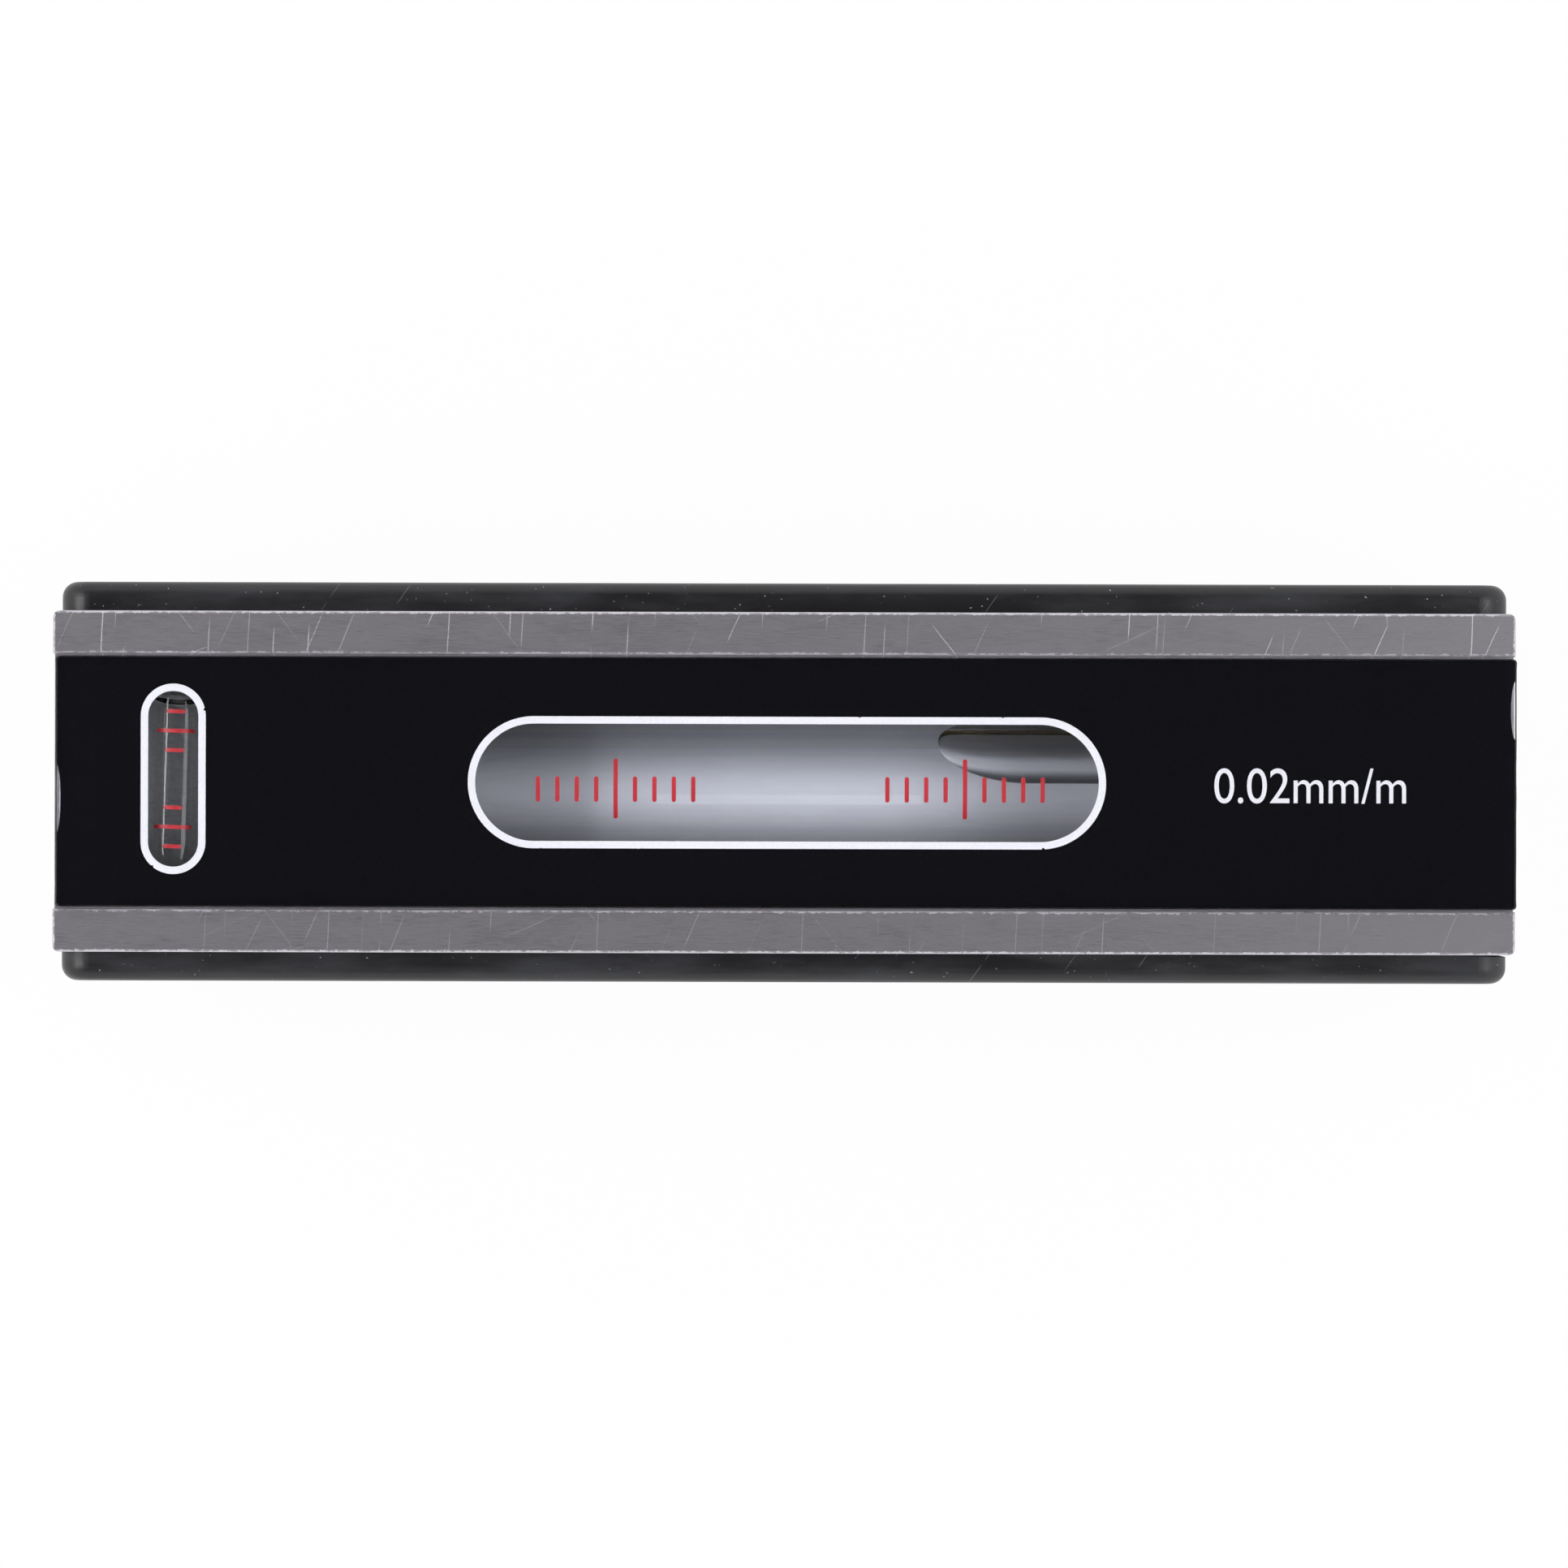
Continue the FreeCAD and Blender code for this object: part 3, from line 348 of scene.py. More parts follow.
finishes = {
    "ground_iron": groundIron(),
    "black_moulding": blackMoulding(),
    "clear_acrylic": clearAcrylic(),
    "black_print": printed("blackPrint", (0.0030, 0.0030, 0.0046), (0.0045, 0.0045, 0.0065),
                           (0.45, 0.6), 3.0, (0.3, 0.7), 0.02),
    "white_print": printed("whitePrint", (0.86, 0.86, 0.92), (0.74, 0.74, 0.81),
                           (0.5, 0.65), 9.0, (0.25, 0.60), 0.02),
    "clear_adhesive": printed("clearAdhesive", (0.42, 0.45, 0.55), (0.30, 0.32, 0.40),
                              (0.3, 0.5), 2.0, (0.3, 0.7)),
    "white_plaster": printed("whitePlaster", (0.80, 0.79, 0.76), (0.66, 0.64, 0.60),
                             (0.7, 0.85), 2.5, (0.3, 0.6)),
    "black_cradle": printed("greyCradle", (0.38, 0.38, 0.42), (0.30, 0.30, 0.335),
                            (0.45, 0.6), 3.0, (0.3, 0.6)),
    "red_enamel": printed("redEnamel", (0.50, 0.018, 0.030), (0.33, 0.010, 0.018),
                          (0.30, 0.5), 5.0, (0.25, 0.6)),
    "blackened_steel": plainMetal("blackenedSteel", (0.075, 0.078, 0.085), (0.03, 0.03, 0.034),
                                  (0.42, 0.30), (2.0, 2.0, 2.0), 0.8),
    "bright_steel": plainMetal("brightSteel", (0.62, 0.61, 0.60), (0.45, 0.44, 0.44),
                               (0.30, 0.22), (3.0, 3.0, 9.0)),
    "turned_brass": plainMetal("turnedBrass", (0.72, 0.52, 0.24), (0.50, 0.34, 0.14),
                               (0.38, 0.26), (9.0, 1.0, 1.0)),
    "clear_glass": clearPiece("clearGlass", 1.5, (0.99, 1.0, 0.995), 0.0, ((0.1, 0.5, 0.5), 0.0015)),
    "vial_spirit": clearPiece("vialSpirit", 1.36 / 1.5, (1.0, 1.0, 1.0), 0.0, ((0.1, 0.2, 0.2), 0.0002)),
    "vial_gas": clearPiece("vialGas", 1.0 / 1.36, (1.0, 1.0, 1.0), 0.0, ((0.1, 0.2, 0.2), 0.0002)),
}
wettedBore = clearPiece("wettedBore", 1.0, (1.0, 1.0, 1.0), 0.0, ((0.1, 0.2, 0.2), 0.0))
for node in nodes.values():
    node.data.materials[0] = finishes[node.data.materials[0].name.split(".")[0]]
nodes["vial_lining"].data.materials[0] = liningPaper()
print("finishes made")


# mesh helpers

def newPiece(name, mesh, materials, body, replaced=()):
    piece = bpy.data.objects.new(name, mesh)
    bpy.context.collection.objects.link(piece)
    for material in materials:
        mesh.materials.append(material)
    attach(piece, body)
    if replaced:
        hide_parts(*replaced)
    return piece


def meshOf(name, form, smoothAngle=35.0):
    bmesh.ops.remove_doubles(form, verts=form.verts, dist=1e-7)
    bmesh.ops.recalc_face_normals(form, faces=form.faces)
    mesh = bpy.data.meshes.new(name)
    form.to_mesh(mesh)
    form.free()
    mesh.shade_smooth()
    mesh.set_sharp_from_angle(angle=math.radians(smoothAngle))
    return mesh


def revolve(form, profile, steps, turned=None, inward=False, kinds=None):
    # profile is (along x, radius) from one end of the axis to the other; inward faces look at the axis
    rings = []
    for along, radius in profile:
        if radius < 1e-6:
            rings.append([form.verts.new((along * mm, 0.0, 0.0))])
            continue
        ring = []
        for step in range(steps):
            angle = 2 * math.pi * step / steps
            spot = Vector((along, radius * math.cos(angle), radius * math.sin(angle)))
            ring.append(form.verts.new(spot * mm))
        rings.append(ring)
    made = []
    for index in range(len(rings) - 1):
        first, second = rings[index], rings[index + 1]
        for step in range(steps):
            after = (step + 1) % steps
            loop = [first[step % len(first)], first[after % len(first)],
                    second[after % len(second)], second[step % len(second)]]
            loop = list(dict.fromkeys(loop))
            face = form.faces.new(loop[::-1] if inward else loop)
            if kinds:
                face.material_index = kinds[index]
            made.append(face)
    if turned is not None:
        for vert in {v for face in made for v in face.verts}:
            vert.co = turned @ vert.co
    return made


def shellMesh(name, form, smoothAngle=35.0):
    # for nested shells whose faces already look the right way
    mesh = bpy.data.meshes.new(name)
    form.to_mesh(mesh)
    form.free()
    mesh.shade_smooth()
    mesh.set_sharp_from_angle(angle=math.radians(smoothAngle))
    return mesh


def arcPoints(centre, radius, start, end, count):
    points = []
    for step in range(count + 1):
        angle = math.radians(start + (end - start) * step / count)
        points.append((centre[0] + radius * math.cos(angle), centre[1] + radius * math.sin(angle)))
    return points


# main vial: glass, liquid and bubble, with the same sizes as in the frame

mainVial = {"bore": 5.5, "endWall": 2.0, "endRound": 1.2, "steps": 192, "wetting": 0.01}


def makeMainVial():
    size = mainVial
    low, high = corners("main_vial_glass")
    radius = (high.z - low.z) / 2
    middle = (low + high) / 2
    turned = Matrix.Translation(Vector((0.0, middle.y, middle.z)) * mm)
    rounding = size["endRound"]
    outer = [(low.x, 0.0)]
    outer += [(x, r) for x, r in arcPoints((low.x + rounding, radius - rounding), rounding, 180, 90, 8)]
    outer += [(x, r) for x, r in arcPoints((high.x - rounding, radius - rounding), rounding, 90, 0, 8)]
    outer += [(high.x, 0.0)]
    boreLow, boreHigh = low.x + size["endWall"], high.x - size["endWall"]
    bore = [(boreLow, 0.0), (boreLow, size["bore"]), (boreHigh, size["bore"]), (boreHigh, 0.0)]
    form = bmesh.new()
    revolve(form, outer, size["steps"], turned, kinds=[0] * len(outer))
    revolve(form, bore, size["steps"], turned, inward=True, kinds=[1] * len(bore))
    newPiece("vialTube", shellMesh("vialTube", form), [finishes["clear_glass"], wettedBore],
             "carrier", ["main_vial_glass"])
    wet = size["wetting"]
    filled = [(boreLow - wet, 0.0), (boreLow - wet, size["bore"] + wet),
              (boreHigh + wet, size["bore"] + wet), (boreHigh + wet, 0.0)]
    form = bmesh.new()
    revolve(form, filled, size["steps"], turned)
    newPiece("vialFilling", shellMesh("vialFilling", form), [finishes["vial_spirit"]],
             "carrier", ["main_vial_liquid"])


mainBubble = {"halfAngle": 45.0, "roll": 45.0, "depth": 2.8, "tip": 9.5, "heel": 3.0, "clearance": 0.1,
              "stations": 120, "across": 40, "fullness": 2.6}


def makeMainBubble():
    size = mainBubble
    low, high = corners("main_bubble")
    glassLow, glassHigh = corners("main_vial_glass")
    middle = (glassLow + glassHigh) / 2
    radius = mainVial["bore"] - size["clearance"]
    form = bmesh.new()
    rings = []
    for station in range(size["stations"] + 1):
        share = 0.5 - 0.5 * math.cos(math.pi * station / size["stations"])
        x = low.x + (high.x - low.x) * share
        fromTip, fromHeel = x - low.x, high.x - x
        wide = 1.0
        if fromTip < size["tip"]:
            wide = math.sqrt(max(0.0, 1 - (1 - fromTip / size["tip"]) ** 2))
        if fromHeel < size["heel"]:
            wide = min(wide, math.sqrt(max(0.0, 1 - (1 - fromHeel / size["heel"]) ** 2)))
        ring = []
        for side, order in ((0, range(size["across"])), (1, range(size["across"], 0, -1))):
            for index in order:
                spread = -math.cos(math.pi * index / size["across"])
                angle = math.radians(90 - size["roll"] + size["halfAngle"] * wide * spread)
                thick = side * size["depth"] * wide * (1 - abs(spread) ** size["fullness"]) ** 0.5
                distance = radius - thick
                ring.append(form.verts.new(Vector((
                    x, middle.y + distance * math.cos(angle), middle.z + distance * math.sin(angle))) * mm))
        rings.append(ring)
    count = len(rings[0])
    for first, second in zip(rings, rings[1:]):
        for index in range(count):
            after = (index + 1) % count
            form.faces.new([first[index], first[after], second[after], second[index]])
    bmesh.ops.remove_doubles(form, verts=form.verts, dist=1e-7)
    bmesh.ops.dissolve_degenerate(form, edges=form.edges, dist=1e-8)
    newPiece("vialBubble", meshOf("vialBubble", form, 60.0), [finishes["vial_gas"]],
             "main_gas", ["main_bubble"])


crossVial = {"radius": 3.5, "bore": 2.3, "skew": 1.8, "length": 22.4, "cap": 1.0, "endRound": 0.35,
             "steps": 128, "wetting": 0.01, "bubbleRadius": 2.2, "nose": 1.25, "endGap": 0.1}


def makeCrossVial():
    size = crossVial
    low, high = corners("cross_vial_glass")
    middle = (low + high) / 2
    turned = Matrix.Translation(middle * mm) @ Matrix.Rotation(math.radians(90 - size["skew"]), 4, "Z")
    half, radius, bore, rounding = size["length"] / 2, size["radius"], size["bore"], size["endRound"]
    profile = [(-half, bore)]
    profile += arcPoints((-half + rounding, radius - rounding), rounding, 180, 90, 5)
    profile += arcPoints((half - rounding, radius - rounding), rounding, 90, 0, 5)
    profile += [(half, bore), (-half, bore)]
    form = bmesh.new()
    revolve(form, profile, size["steps"], turned, kinds=[0] * (len(profile) - 2) + [1])
    bmesh.ops.remove_doubles(form, verts=form.verts, dist=1e-7)
    newPiece("crossTube", shellMesh("crossTube", form), [finishes["clear_glass"], wettedBore],
             "base", ["cross_vial_glass"])
    wet, inner = size["wetting"], half - size["cap"]
    filled = [(-inner, 0.0), (-inner, bore + wet), (inner, bore + wet), (inner, 0.0)]
    form = bmesh.new()
    revolve(form, filled, size["steps"], turned)
    newPiece("crossFilling", shellMesh("crossFilling", form), [finishes["vial_spirit"]],
             "base", ["cross_vial_liquid"])
    gasLow, gasHigh = corners("cross_bubble")
    start, end = gasLow.y - middle.y, inner - size["endGap"]
    gas = []
    for step in range(16):
        angle = math.radians(6 * step)
        gas.append((start + size["nose"] * (1 - math.cos(angle)), size["bubbleRadius"] * math.sin(angle)))
    gas += [(end, size["bubbleRadius"]), (end, 0.0)]
    form = bmesh.new()
    revolve(form, gas, size["steps"], turned)
    newPiece("crossBubble", shellMesh("crossBubble", form), [finishes["vial_gas"]],
             "cross_gas", ["cross_bubble"])


makeMainVial()
makeMainBubble()
makeCrossVial()
print("vials made")


# cover: clear plate with sawn ends, over print on its underside

coverSize = {"corner": 0.4, "edge": 0.15, "sink": 0.02, "wobble": 0.07, "pitch": 0.6}


def makeCover():
    size = coverSize
    low, high = corners("cover_plate")
    corner, pitch = size["corner"], size["pitch"]
    outline = []
    stops = [((high.x - corner, low.y + corner), -90), ((high.x - corner, high.y - corner), 0),
             ((low.x + corner, high.y - corner), 90), ((low.x + corner, low.y + corner), 180)]
    for index, (centre, start) in enumerate(stops):
        outline += arcPoints(centre, corner, start, start + 90, 4)
        first = outline[-1]
        second = arcPoints(stops[(index + 1) % 4][0], corner, start + 90, start + 90, 1)[0]
        count = int(math.dist(first, second) / pitch)
        for step in range(1, count):
            share = step / count
            x = first[0] + (second[0] - first[0]) * share
            y = first[1] + (second[1] - first[1]) * share
            if index in (0, 2):
                wander = 0.5 + 0.5 * noise.noise(Vector((y * 0.35, index * 5.0, 0.0)))
                fine = 0.5 + 0.5 * noise.noise(Vector((y * 1.7, index * 9.0, 3.0)))
                x += (-1 if index == 0 else 1) * size["wobble"] * (0.7 * wander + 0.3 * fine)
            outline.append((x, y))
    middle = (low + high) / 2
    levels = [(low.z - size["sink"], 0.0), (high.z - size["edge"], 0.0), (high.z, size["edge"])]
    form = bmesh.new()
    rings = []
    for z, inset in levels:
        ring = []
        for x, y in outline:
            scaleX = 1 - inset / (high.x - middle.x)
            scaleY = 1 - inset / (high.y - middle.y)
            ring.append(form.verts.new(Vector((
                middle.x + (x - middle.x) * scaleX, middle.y + (y - middle.y) * scaleY, z)) * mm))
        rings.append(ring)
    count = len(outline)
    for first, second in zip(rings, rings[1:]):
        for index in range(count):
            after = (index + 1) % count
            form.faces.new([first[index], first[after], second[after], second[index]])
    form.faces.new(rings[0][::-1])
    form.faces.new(rings[-1])
    newPiece("clearCover", meshOf("clearCover", form, 30.0), [finishes["clear_acrylic"]],
             "base", ["cover_plate"])


borderSize = {
    "width": 0.79, "ragged": 0.035, "nickDepth": 0.16, "nickChance": 0.60, "pitch": 0.10, "sink": 0.004,
    "whiteDepth": 0.05,
    "windows": [  # centre x, centre y, length, width, long side's angle
        (0.3, 0.0, 65.6, 13.6, 0.0), (-62.75, 0.25, 19.6, 6.7, 90.0)],
}


def stadiumPoint(length, width, along):
    # a point and its outward direction on a round-ended outline, along from 0 to 1
    straight, radius = length - width, width / 2
    perimeter = 2 * straight + 2 * math.pi * radius
    walked = along * perimeter
    if walked < straight:
        return (-straight / 2 + walked, -radius), (0.0, -1.0)
    walked -= straight
    if walked < math.pi * radius:
        angle = -math.pi / 2 + walked / radius
        way = (math.cos(angle), math.sin(angle))
        return (straight / 2 + radius * way[0], radius * way[1]), way
    walked -= math.pi * radius
    if walked < straight:
        return (straight / 2 - walked, radius), (0.0, 1.0)
    walked -= straight
    angle = math.pi / 2 + walked / radius
    way = (math.cos(angle), math.sin(angle))
    return (-straight / 2 + radius * way[0], radius * way[1]), way


def addBorder(form, window, bottom, top, ragged, seed):
    size = borderSize
    centreX, centreY, length, width, angle = window
    count = int(2 * (length + width) / size["pitch"])
    turn = Matrix.Rotation(math.radians(angle), 4, "Z")
    rings = [[], [], [], []]
    for index in range(count):
        (x, y), way = stadiumPoint(length, width, index / count)
        offsets = []
        for side, offset in ((0, -size["width"]), (1, 0.0)):
            wander = noise.noise(Vector((x * 5.0, y * 5.0, seed + side * 7.0)))
            nick = noise.noise(Vector((x * 2.6, y * 2.6, seed + side * 13.0 + 50.0)))
            bite = ragged * (0.5 + 0.5 * wander)
            if ragged and side and nick > size["nickChance"]:
                bite += size["nickDepth"] * min(1.0, (nick - size["nickChance"]) * 8)
            offsets.append(offset + (bite if side == 0 else -bite))
        for ring, offset, z in ((0, offsets[0], bottom), (1, offsets[1], bottom),
                                (2, offsets[1], top), (3, offsets[0], top)):
            spot = turn @ Vector((x + way[0] * offset, y + way[1] * offset, 0.0))
            rings[ring].append(form.verts.new(
                Vector((centreX + spot.x, centreY + spot.y, z)) * mm))
    for first, second in zip(rings, rings[1:] + rings[:1]):
        for index in range(count):
            after = (index + 1) % count
            form.faces.new([first[index], second[index], second[after], first[after]])


def makeBorders():
    size = borderSize
    low, high = corners("window_borders")
    white, backing = bmesh.new(), bmesh.new()
    for seed, window in enumerate(size["windows"]):
        seam = high.z - size["whiteDepth"]
        addBorder(white, window, seam, high.z + size["sink"], size["ragged"], seed * 3.0)
        addBorder(backing, window, low.z, seam, 0.0, seed * 3.0)
    newPiece("windowBorders", meshOf("windowBorders", white, 30.0), [finishes["white_print"]],
             "base", ["window_borders"])
    newPiece("borderBacking", meshOf("borderBacking", backing, 30.0), [finishes["black_print"]],
             "base")


lettering = {"text": "0.02mm/m", "left": 44.2, "right": 63.9, "bottom": -2.0, "top": 1.62, "thick": 0.016,
             "sink": 0.004}


def makeLettering():
    size = lettering
    curve = bpy.data.curves.new("sensitivity", "FONT")
    curve.body = size["text"]
    curve.size = 5 * mm
    curve.extrude = size["thick"] / 2 * mm
    curve.resolution_u = 6
    piece = bpy.data.objects.new("sensitivityText", curve)
    bpy.context.collection.objects.link(piece)
    mesh = bpy.data.meshes.new_from_object(piece.evaluated_get(bpy.context.evaluated_depsgraph_get()))
    bpy.data.objects.remove(piece)
    xs = [v.co.x for v in mesh.vertices]
    ys = [v.co.y for v in mesh.vertices]
    zs = [v.co.z for v in mesh.vertices]
    scaleX = (size["right"] - size["left"]) * mm / (max(xs) - min(xs))
    scaleY = (size["top"] - size["bottom"]) * mm / (max(ys) - min(ys))
    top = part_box("cover_backprint")[1].z + size["sink"] * mm
    for vert in mesh.vertices:
        vert.co.x = size["left"] * mm + (vert.co.x - min(xs)) * scaleX
        vert.co.y = size["bottom"] * mm + (vert.co.y - min(ys)) * scaleY
        vert.co.z = top + (vert.co.z - max(zs))
    mesh.materials.clear()
    newPiece("sensitivity", mesh, [finishes["white_print"]], "base")


makeCover()
makeBorders()
makeLettering()
print("cover and print made")


# scale marks, by a geometry tree: round-ended strips in groups, wrapped on a vial

def newTree(name, sockets):
    tree = bpy.data.node_groups.new(name, "GeometryNodeTree")
    tree.interface.new_socket("Geometry", in_out="INPUT", socket_type="NodeSocketGeometry")
    for label, kind, value in sockets:
        socket = tree.interface.new_socket(label, in_out="INPUT", socket_type="NodeSocket" + kind)
        if value is not None:
            socket.default_value = value
    tree.interface.new_socket("Geometry", in_out="OUTPUT", socket_type="NodeSocketGeometry")
    return tree, tree.nodes.new("NodeGroupInput").outputs


def closeTree(tree, geometry, material):
    real = put(tree, "GeometryNodeRealizeInstances", {0: geometry}).outputs[0]
    done = put(tree, "GeometryNodeSetMaterial", {"Geometry": real, "Material": material}).outputs[0]
    put(tree, "NodeGroupOutput", {0: done})


def applyTree(tree, name, values, start=None):
    holder = bpy.data.objects.new(name + "Maker", start or bpy.data.meshes.new(name + "Start"))
    bpy.context.collection.objects.link(holder)
    modifier = holder.modifiers.new("shape", "NODES")
    modifier.node_group = tree
    for item in tree.interface.items_tree:
        if item.item_type == "SOCKET" and item.in_out == "INPUT" and item.name in values:
            modifier[item.identifier] = values[item.name]
    mesh = bpy.data.meshes.new_from_object(
        holder.evaluated_get(bpy.context.evaluated_depsgraph_get()))
    mesh.name = name
    holder.modifiers.remove(modifier)
    bpy.data.objects.remove(holder)
    return mesh


def strip(tree, width, length, pitch):
    outline = put(tree, "GeometryNodeCurvePrimitiveQuadrilateral", {
        "Width": width, "Height": length}).outputs[0]
    radius = calc(tree, "MULTIPLY", width, 0.48)
    rounded = put(tree, "GeometryNodeFilletCurve", {"Curve": outline, "Count": 6, "Radius": radius},
                  mode="POLY").outputs[0]
    finer = put(tree, "GeometryNodeResampleCurve", {"Curve": rounded, "Length": pitch},
                mode="LENGTH").outputs[0]
    return put(tree, "GeometryNodeFillCurve", {"Curve": finer}, mode="TRIANGLES").outputs[0]


def scaleTree(name, material):
    tree, given = newTree(name, [
        ("Marks", "Int", 9), ("Pitch", "Float", None), ("Groups", "Int", 2), ("Group pitch", "Float", None),
        ("Width", "Float", None), ("Short", "Float", None), ("Long", "Float", None),
        ("Radius", "Float", None), ("Height", "Float", None), ("Aside", "Float", None),
        ("Centre", "Vector", None), ("Turn", "Vector", None)])
    count, pitch = given["Marks"], given["Pitch"]
    half = calc(tree, "MULTIPLY", calc(tree, "SUBTRACT", count, 1.0), 0.5)
    startX = calc(tree, "MULTIPLY", calc(tree, "MULTIPLY", half, pitch), -1.0)
    row = put(tree, "GeometryNodeMeshLine", {
        "Count": count,
        "Start Location": put(tree, "ShaderNodeCombineXYZ", {0: startX, 1: given["Aside"]}).outputs[0],
        "Offset": put(tree, "ShaderNodeCombineXYZ", {0: pitch}).outputs[0]}).outputs[0]
    index = tree.nodes.new("GeometryNodeInputIndex").outputs[0]
    isLong = calc(tree, "COMPARE", index, half, 0.1)
    isShort = calc(tree, "SUBTRACT", 1.0, isLong)
    fine = calc(tree, "MULTIPLY", given["Width"], 0.25)
    short = put(tree, "GeometryNodeInstanceOnPoints", {
        "Points": row, "Selection": isShort, "Instance": strip(tree, given["Width"], given["Short"], fine)})
    long = put(tree, "GeometryNodeInstanceOnPoints", {
        "Points": row, "Selection": isLong, "Instance": strip(tree, given["Width"], given["Long"], fine)})
    group = tree.nodes.new("GeometryNodeJoinGeometry")
    tree.links.new(short.outputs[0], group.inputs[0])
    tree.links.new(long.outputs[0], group.inputs[0])
    halfGroups = calc(tree, "MULTIPLY", calc(tree, "SUBTRACT", given["Groups"], 1.0), -0.5)
    firstGroup = calc(tree, "MULTIPLY", halfGroups, given["Group pitch"])
    places = put(tree, "GeometryNodeMeshLine", {
        "Count": given["Groups"],
        "Start Location": put(tree, "ShaderNodeCombineXYZ", {0: firstGroup}).outputs[0],
        "Offset": put(tree, "ShaderNodeCombineXYZ", {0: given["Group pitch"]}).outputs[0]}).outputs[0]
    flat = put(tree, "GeometryNodeRealizeInstances", {0: put(tree, "GeometryNodeInstanceOnPoints", {
        "Points": places, "Instance": group.outputs[0]}).outputs[0]}).outputs[0]

    def wrapped(geometry, radius):
        spot = axes(tree, tree.nodes.new("GeometryNodeInputPosition").outputs[0])
        angle = calc(tree, "DIVIDE", spot[1], given["Radius"])
        curved = put(tree, "ShaderNodeCombineXYZ", {
            0: spot[0], 1: calc(tree, "MULTIPLY", calc(tree, "SINE", angle), radius),
            2: calc(tree, "MULTIPLY", calc(tree, "COSINE", angle), radius)}).outputs[0]
        return put(tree, "GeometryNodeSetPosition", {"Geometry": geometry, "Position": curved}).outputs[0]

    thick = put(tree, "GeometryNodeExtrudeMesh", {
        "Mesh": wrapped(flat, given["Radius"]), "Offset Scale": given["Height"], "Individual": False})
    under = put(tree, "GeometryNodeFlipFaces", {0: wrapped(flat, given["Radius"])}).outputs[0]
    solid = tree.nodes.new("GeometryNodeJoinGeometry")
    tree.links.new(thick.outputs[0], solid.inputs[0])
    tree.links.new(under, solid.inputs[0])
    closed = put(tree, "GeometryNodeMergeByDistance", {0: solid.outputs[0], "Distance": 1e-6}).outputs[0]
    placed = put(tree, "GeometryNodeTransform", {
        "Geometry": closed, "Translation": given["Centre"], "Rotation": given["Turn"]}).outputs[0]
    closeTree(tree, placed, material)
    return tree


mainScale = {"Marks": 9, "Pitch": 2.0, "Groups": 2, "Group pitch": 36.0, "Width": 0.45, "Short": 2.65,
             "Long": 6.4, "Height": 0.05, "Aside": -0.70, "centreX": 0.65}
crossScale = {"Marks": 3, "Pitch": 2.0, "Groups": 2, "Group pitch": 9.9, "Width": 0.40, "Short": 2.0,
              "Long": 4.1, "Height": 0.045, "Aside": 0.0}


def makeScales():
    tree = scaleTree("scaleMarks", finishes["red_enamel"])
    low, high = corners("main_vial_glass")
    radius = (high.z - low.z) / 2
    sizes = {key: value * mm if isinstance(value, float) else value for key, value in mainScale.items()}
    sizes["Radius"] = radius * mm
    sizes["Centre"] = (mainScale["centreX"] * mm, 0.0, (low.z + radius) * mm)
    sizes["Turn"] = (0.0, 0.0, 0.0)
    mesh = applyTree(tree, "mainScaleMarks", sizes)
    newPiece("mainScaleMarks", mesh, [], "carrier", ["main_scale_marks"])
    low, high = corners("cross_vial_glass")
    sizes = {key: value * mm if isinstance(value, float) else value for key, value in crossScale.items()}
    sizes["Radius"] = crossVial["radius"] * mm
    sizes["Centre"] = tuple((low + high) / 2 * mm)
    sizes["Turn"] = (0.0, 0.0, math.radians(90 - crossVial["skew"]))
    mesh = applyTree(tree, "crossScaleMarks", sizes)
    newPiece("crossScaleMarks", mesh, [], "base", ["cross_scale_marks"])


makeScales()
print("scale marks made")


# floor, lamps, sky and camera

stageLook = {"floor": 6.0, "drop": 0.0002, "glow": 0.96}


def makeFloor():
    size = stageLook
    material = bpy.data.materials.new("paleFloor")
    material.use_nodes = True
    tree = material.node_tree
    tree.nodes.clear()
    path = put(tree, "ShaderNodeLightPath").outputs
    seen = calc(tree, "ADD", path["Is Camera Ray"], path["Is Glossy Ray"])
    seen = calc(tree, "ADD", seen, path["Is Transmission Ray"], clamp=True)
    matt = put(tree, "ShaderNodeBsdfDiffuse", {"Color": (0.96, 0.96, 0.96, 1.0)}).outputs[0]
    glow = put(tree, "ShaderNodeEmission", {"Strength": 1.0}).outputs[0]
    share = calc(tree, "MULTIPLY", seen, size["glow"])
    top = put(tree, "ShaderNodeMixShader", {0: share, 1: matt, 2: glow}).outputs[0]
    gone = put(tree, "ShaderNodeBsdfTransparent").outputs[0]
    under = put(tree, "ShaderNodeNewGeometry").outputs["Backfacing"]
    both = put(tree, "ShaderNodeMixShader", {0: under, 1: top, 2: gone}).outputs[0]
    put(tree, "ShaderNodeOutputMaterial", {"Surface": both})
    half = size["floor"] / 2
    mesh = bpy.data.meshes.new("floor")
    mesh.from_pydata([(-half, -half, -size["drop"]), (half, -half, -size["drop"]),
                      (half, half, -size["drop"]), (-half, half, -size["drop"])], [], [(0, 1, 2, 3)])
    mesh.materials.append(material)
    floor = bpy.data.objects.new("floor", mesh)
    bpy.context.collection.objects.link(floor)


skyLook = {"level": 1.0, "overhead": 0.03, "from": 0.50, "to": 0.82}


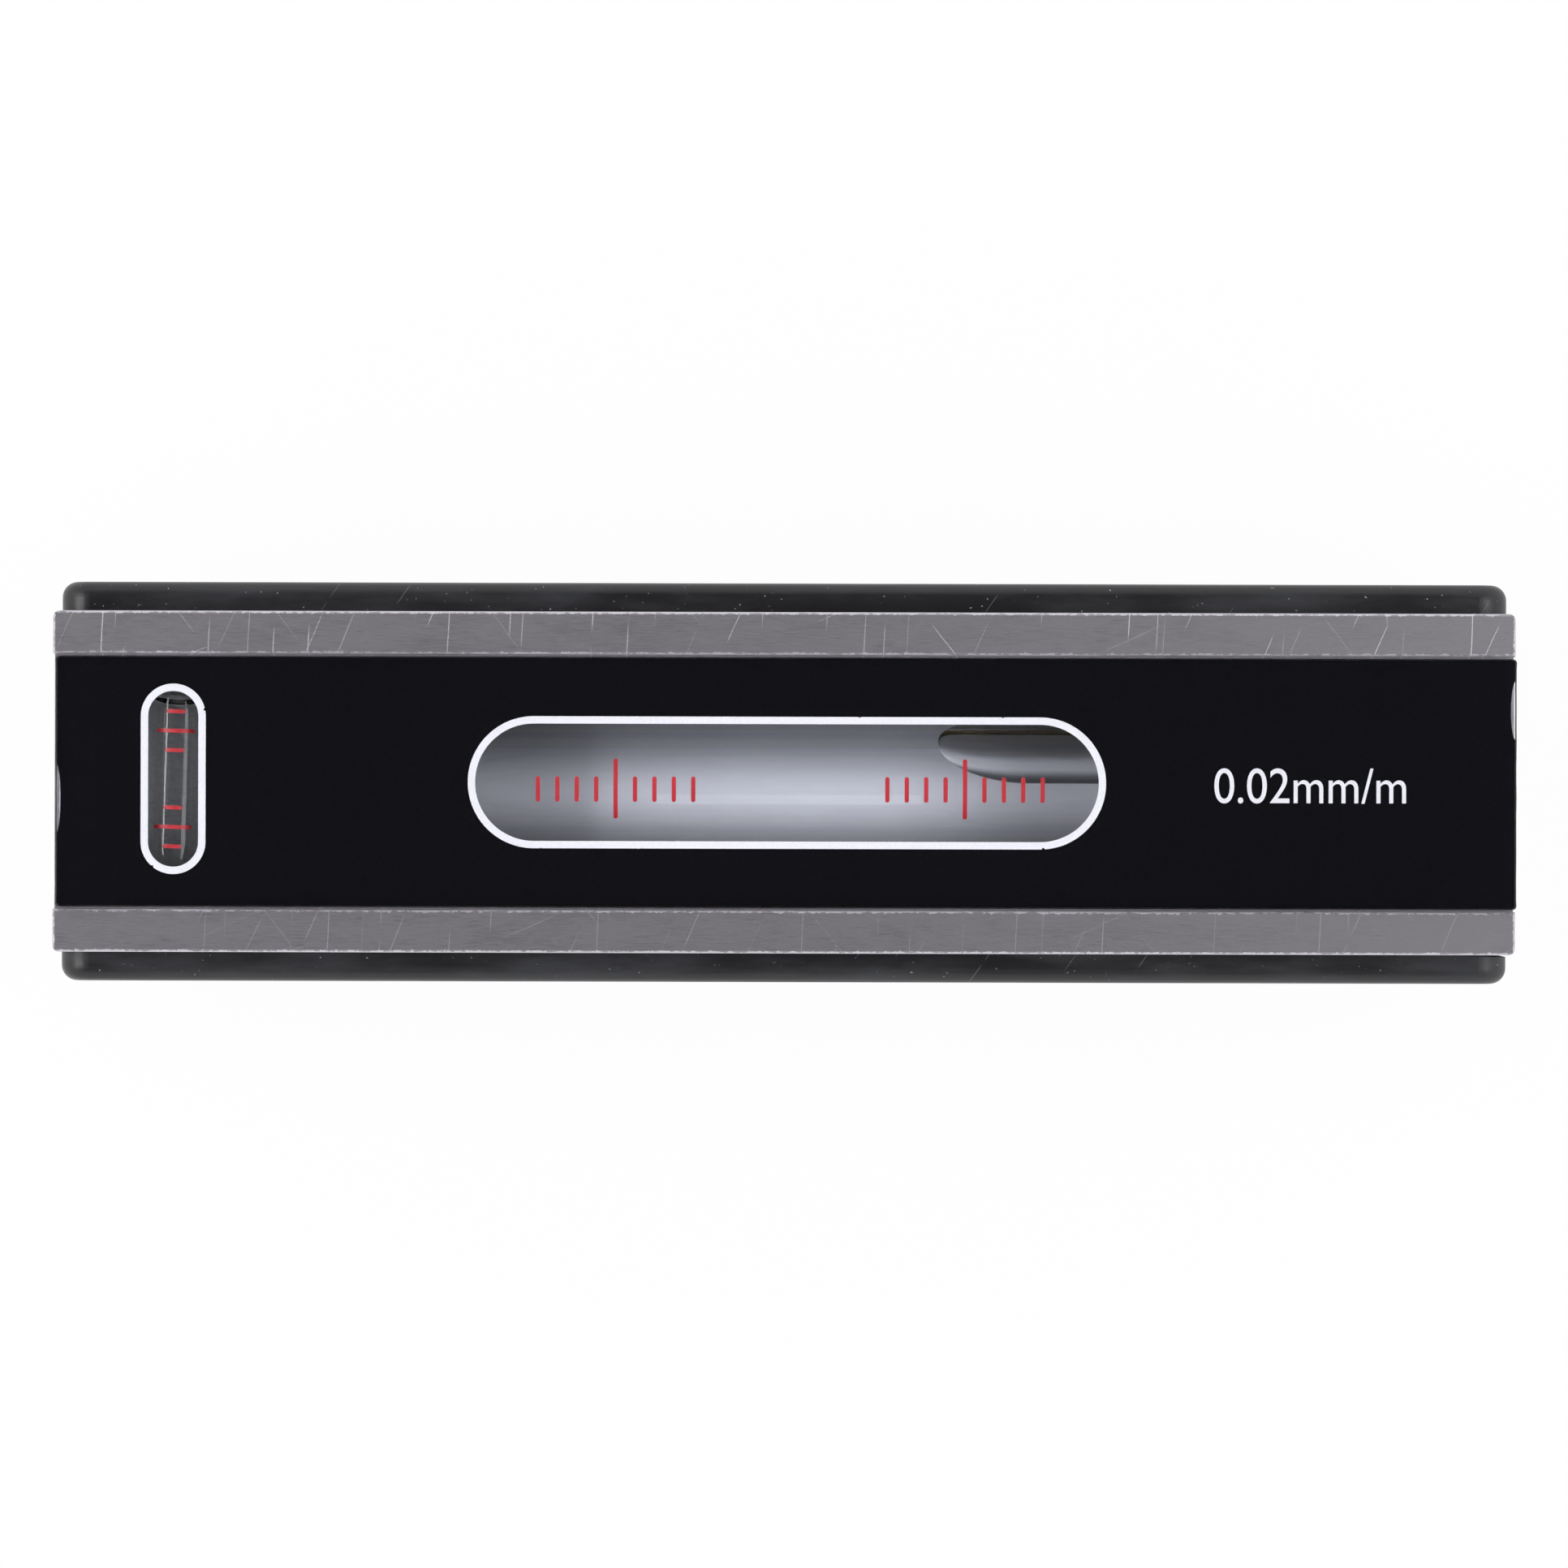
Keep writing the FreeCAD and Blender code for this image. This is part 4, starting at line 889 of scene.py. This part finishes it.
def makeSky():
    world = bpy.data.worlds.new("studio")
    world.use_nodes = True
    tree = world.node_tree
    tree.nodes.clear()
    way = axes(tree, put(tree, "ShaderNodeTexCoord").outputs["Generated"])[2]
    level = ease(tree, way, skyLook["from"], skyLook["to"], skyLook["level"], skyLook["overhead"])
    glow = put(tree, "ShaderNodeBackground", {"Color": (1.0, 1.0, 1.0, 1.0), "Strength": level}).outputs[0]
    put(tree, "ShaderNodeOutputWorld", {"Surface": glow})
    bpy.context.scene.world = world


lamps = {  # degrees from overhead towards +X and +Y, width and length in metres, brightness of its face
    "left": {"tilt": (-36.0, 0.0), "size": (0.10, 0.70), "face": 9.0},
    "leftWash": {"tilt": (-52.0, 0.0), "size": (0.30, 0.70), "face": 4.0},
    "right": {"tilt": (36.0, 0.0), "size": (0.46, 0.70), "face": 3.6},
    "front": {"tilt": (0.0, -28.0), "size": (0.12, 0.28), "face": 1.6},
}


def makeLamps():
    for name, lamp in lamps.items():
        light = bpy.data.lights.new(name + "Lamp", "AREA")
        light.shape = "RECTANGLE"
        light.size, light.size_y = lamp["size"]
        light.energy = lamp["face"] * math.pi * lamp["size"][0] * lamp["size"][1]
        holder = bpy.data.objects.new(name + "Lamp", light)
        bpy.context.collection.objects.link(holder)
        towardsX, towardsY = (math.radians(tilt) for tilt in lamp["tilt"])
        turned = Matrix.Rotation(-towardsY, 4, "X") @ Matrix.Rotation(towardsX, 4, "Y")
        holder.matrix_world = turned @ Matrix.Translation((0.0, 0.0, 1.0))


view = {"height": 0.95, "frameWidth": 0.16076, "roll": 0.15, "across": -0.00012}


def makeCamera():
    camera = bpy.data.cameras.new("camera")
    camera.sensor_fit = "HORIZONTAL"
    camera.angle = 2 * math.atan(view["frameWidth"] / 2 / view["height"])
    holder = bpy.data.objects.new("camera", camera)
    bpy.context.collection.objects.link(holder)
    top = cadHigh.z
    holder.location = (0.0, view["across"], top + view["height"])
    holder.rotation_euler = (0.0, 0.0, math.radians(view["roll"]))
    bpy.context.scene.camera = holder


makeFloor()
makeSky()
makeLamps()
makeCamera()
scene = bpy.context.scene
scene.view_settings.view_transform = "Standard"
scene.cycles.max_bounces = 18  # in through cover, glass, liquid and bubble, and out again
scene.cycles.transmission_bounces = 18
scene.cycles.transparent_max_bounces = 24
print("stage made")
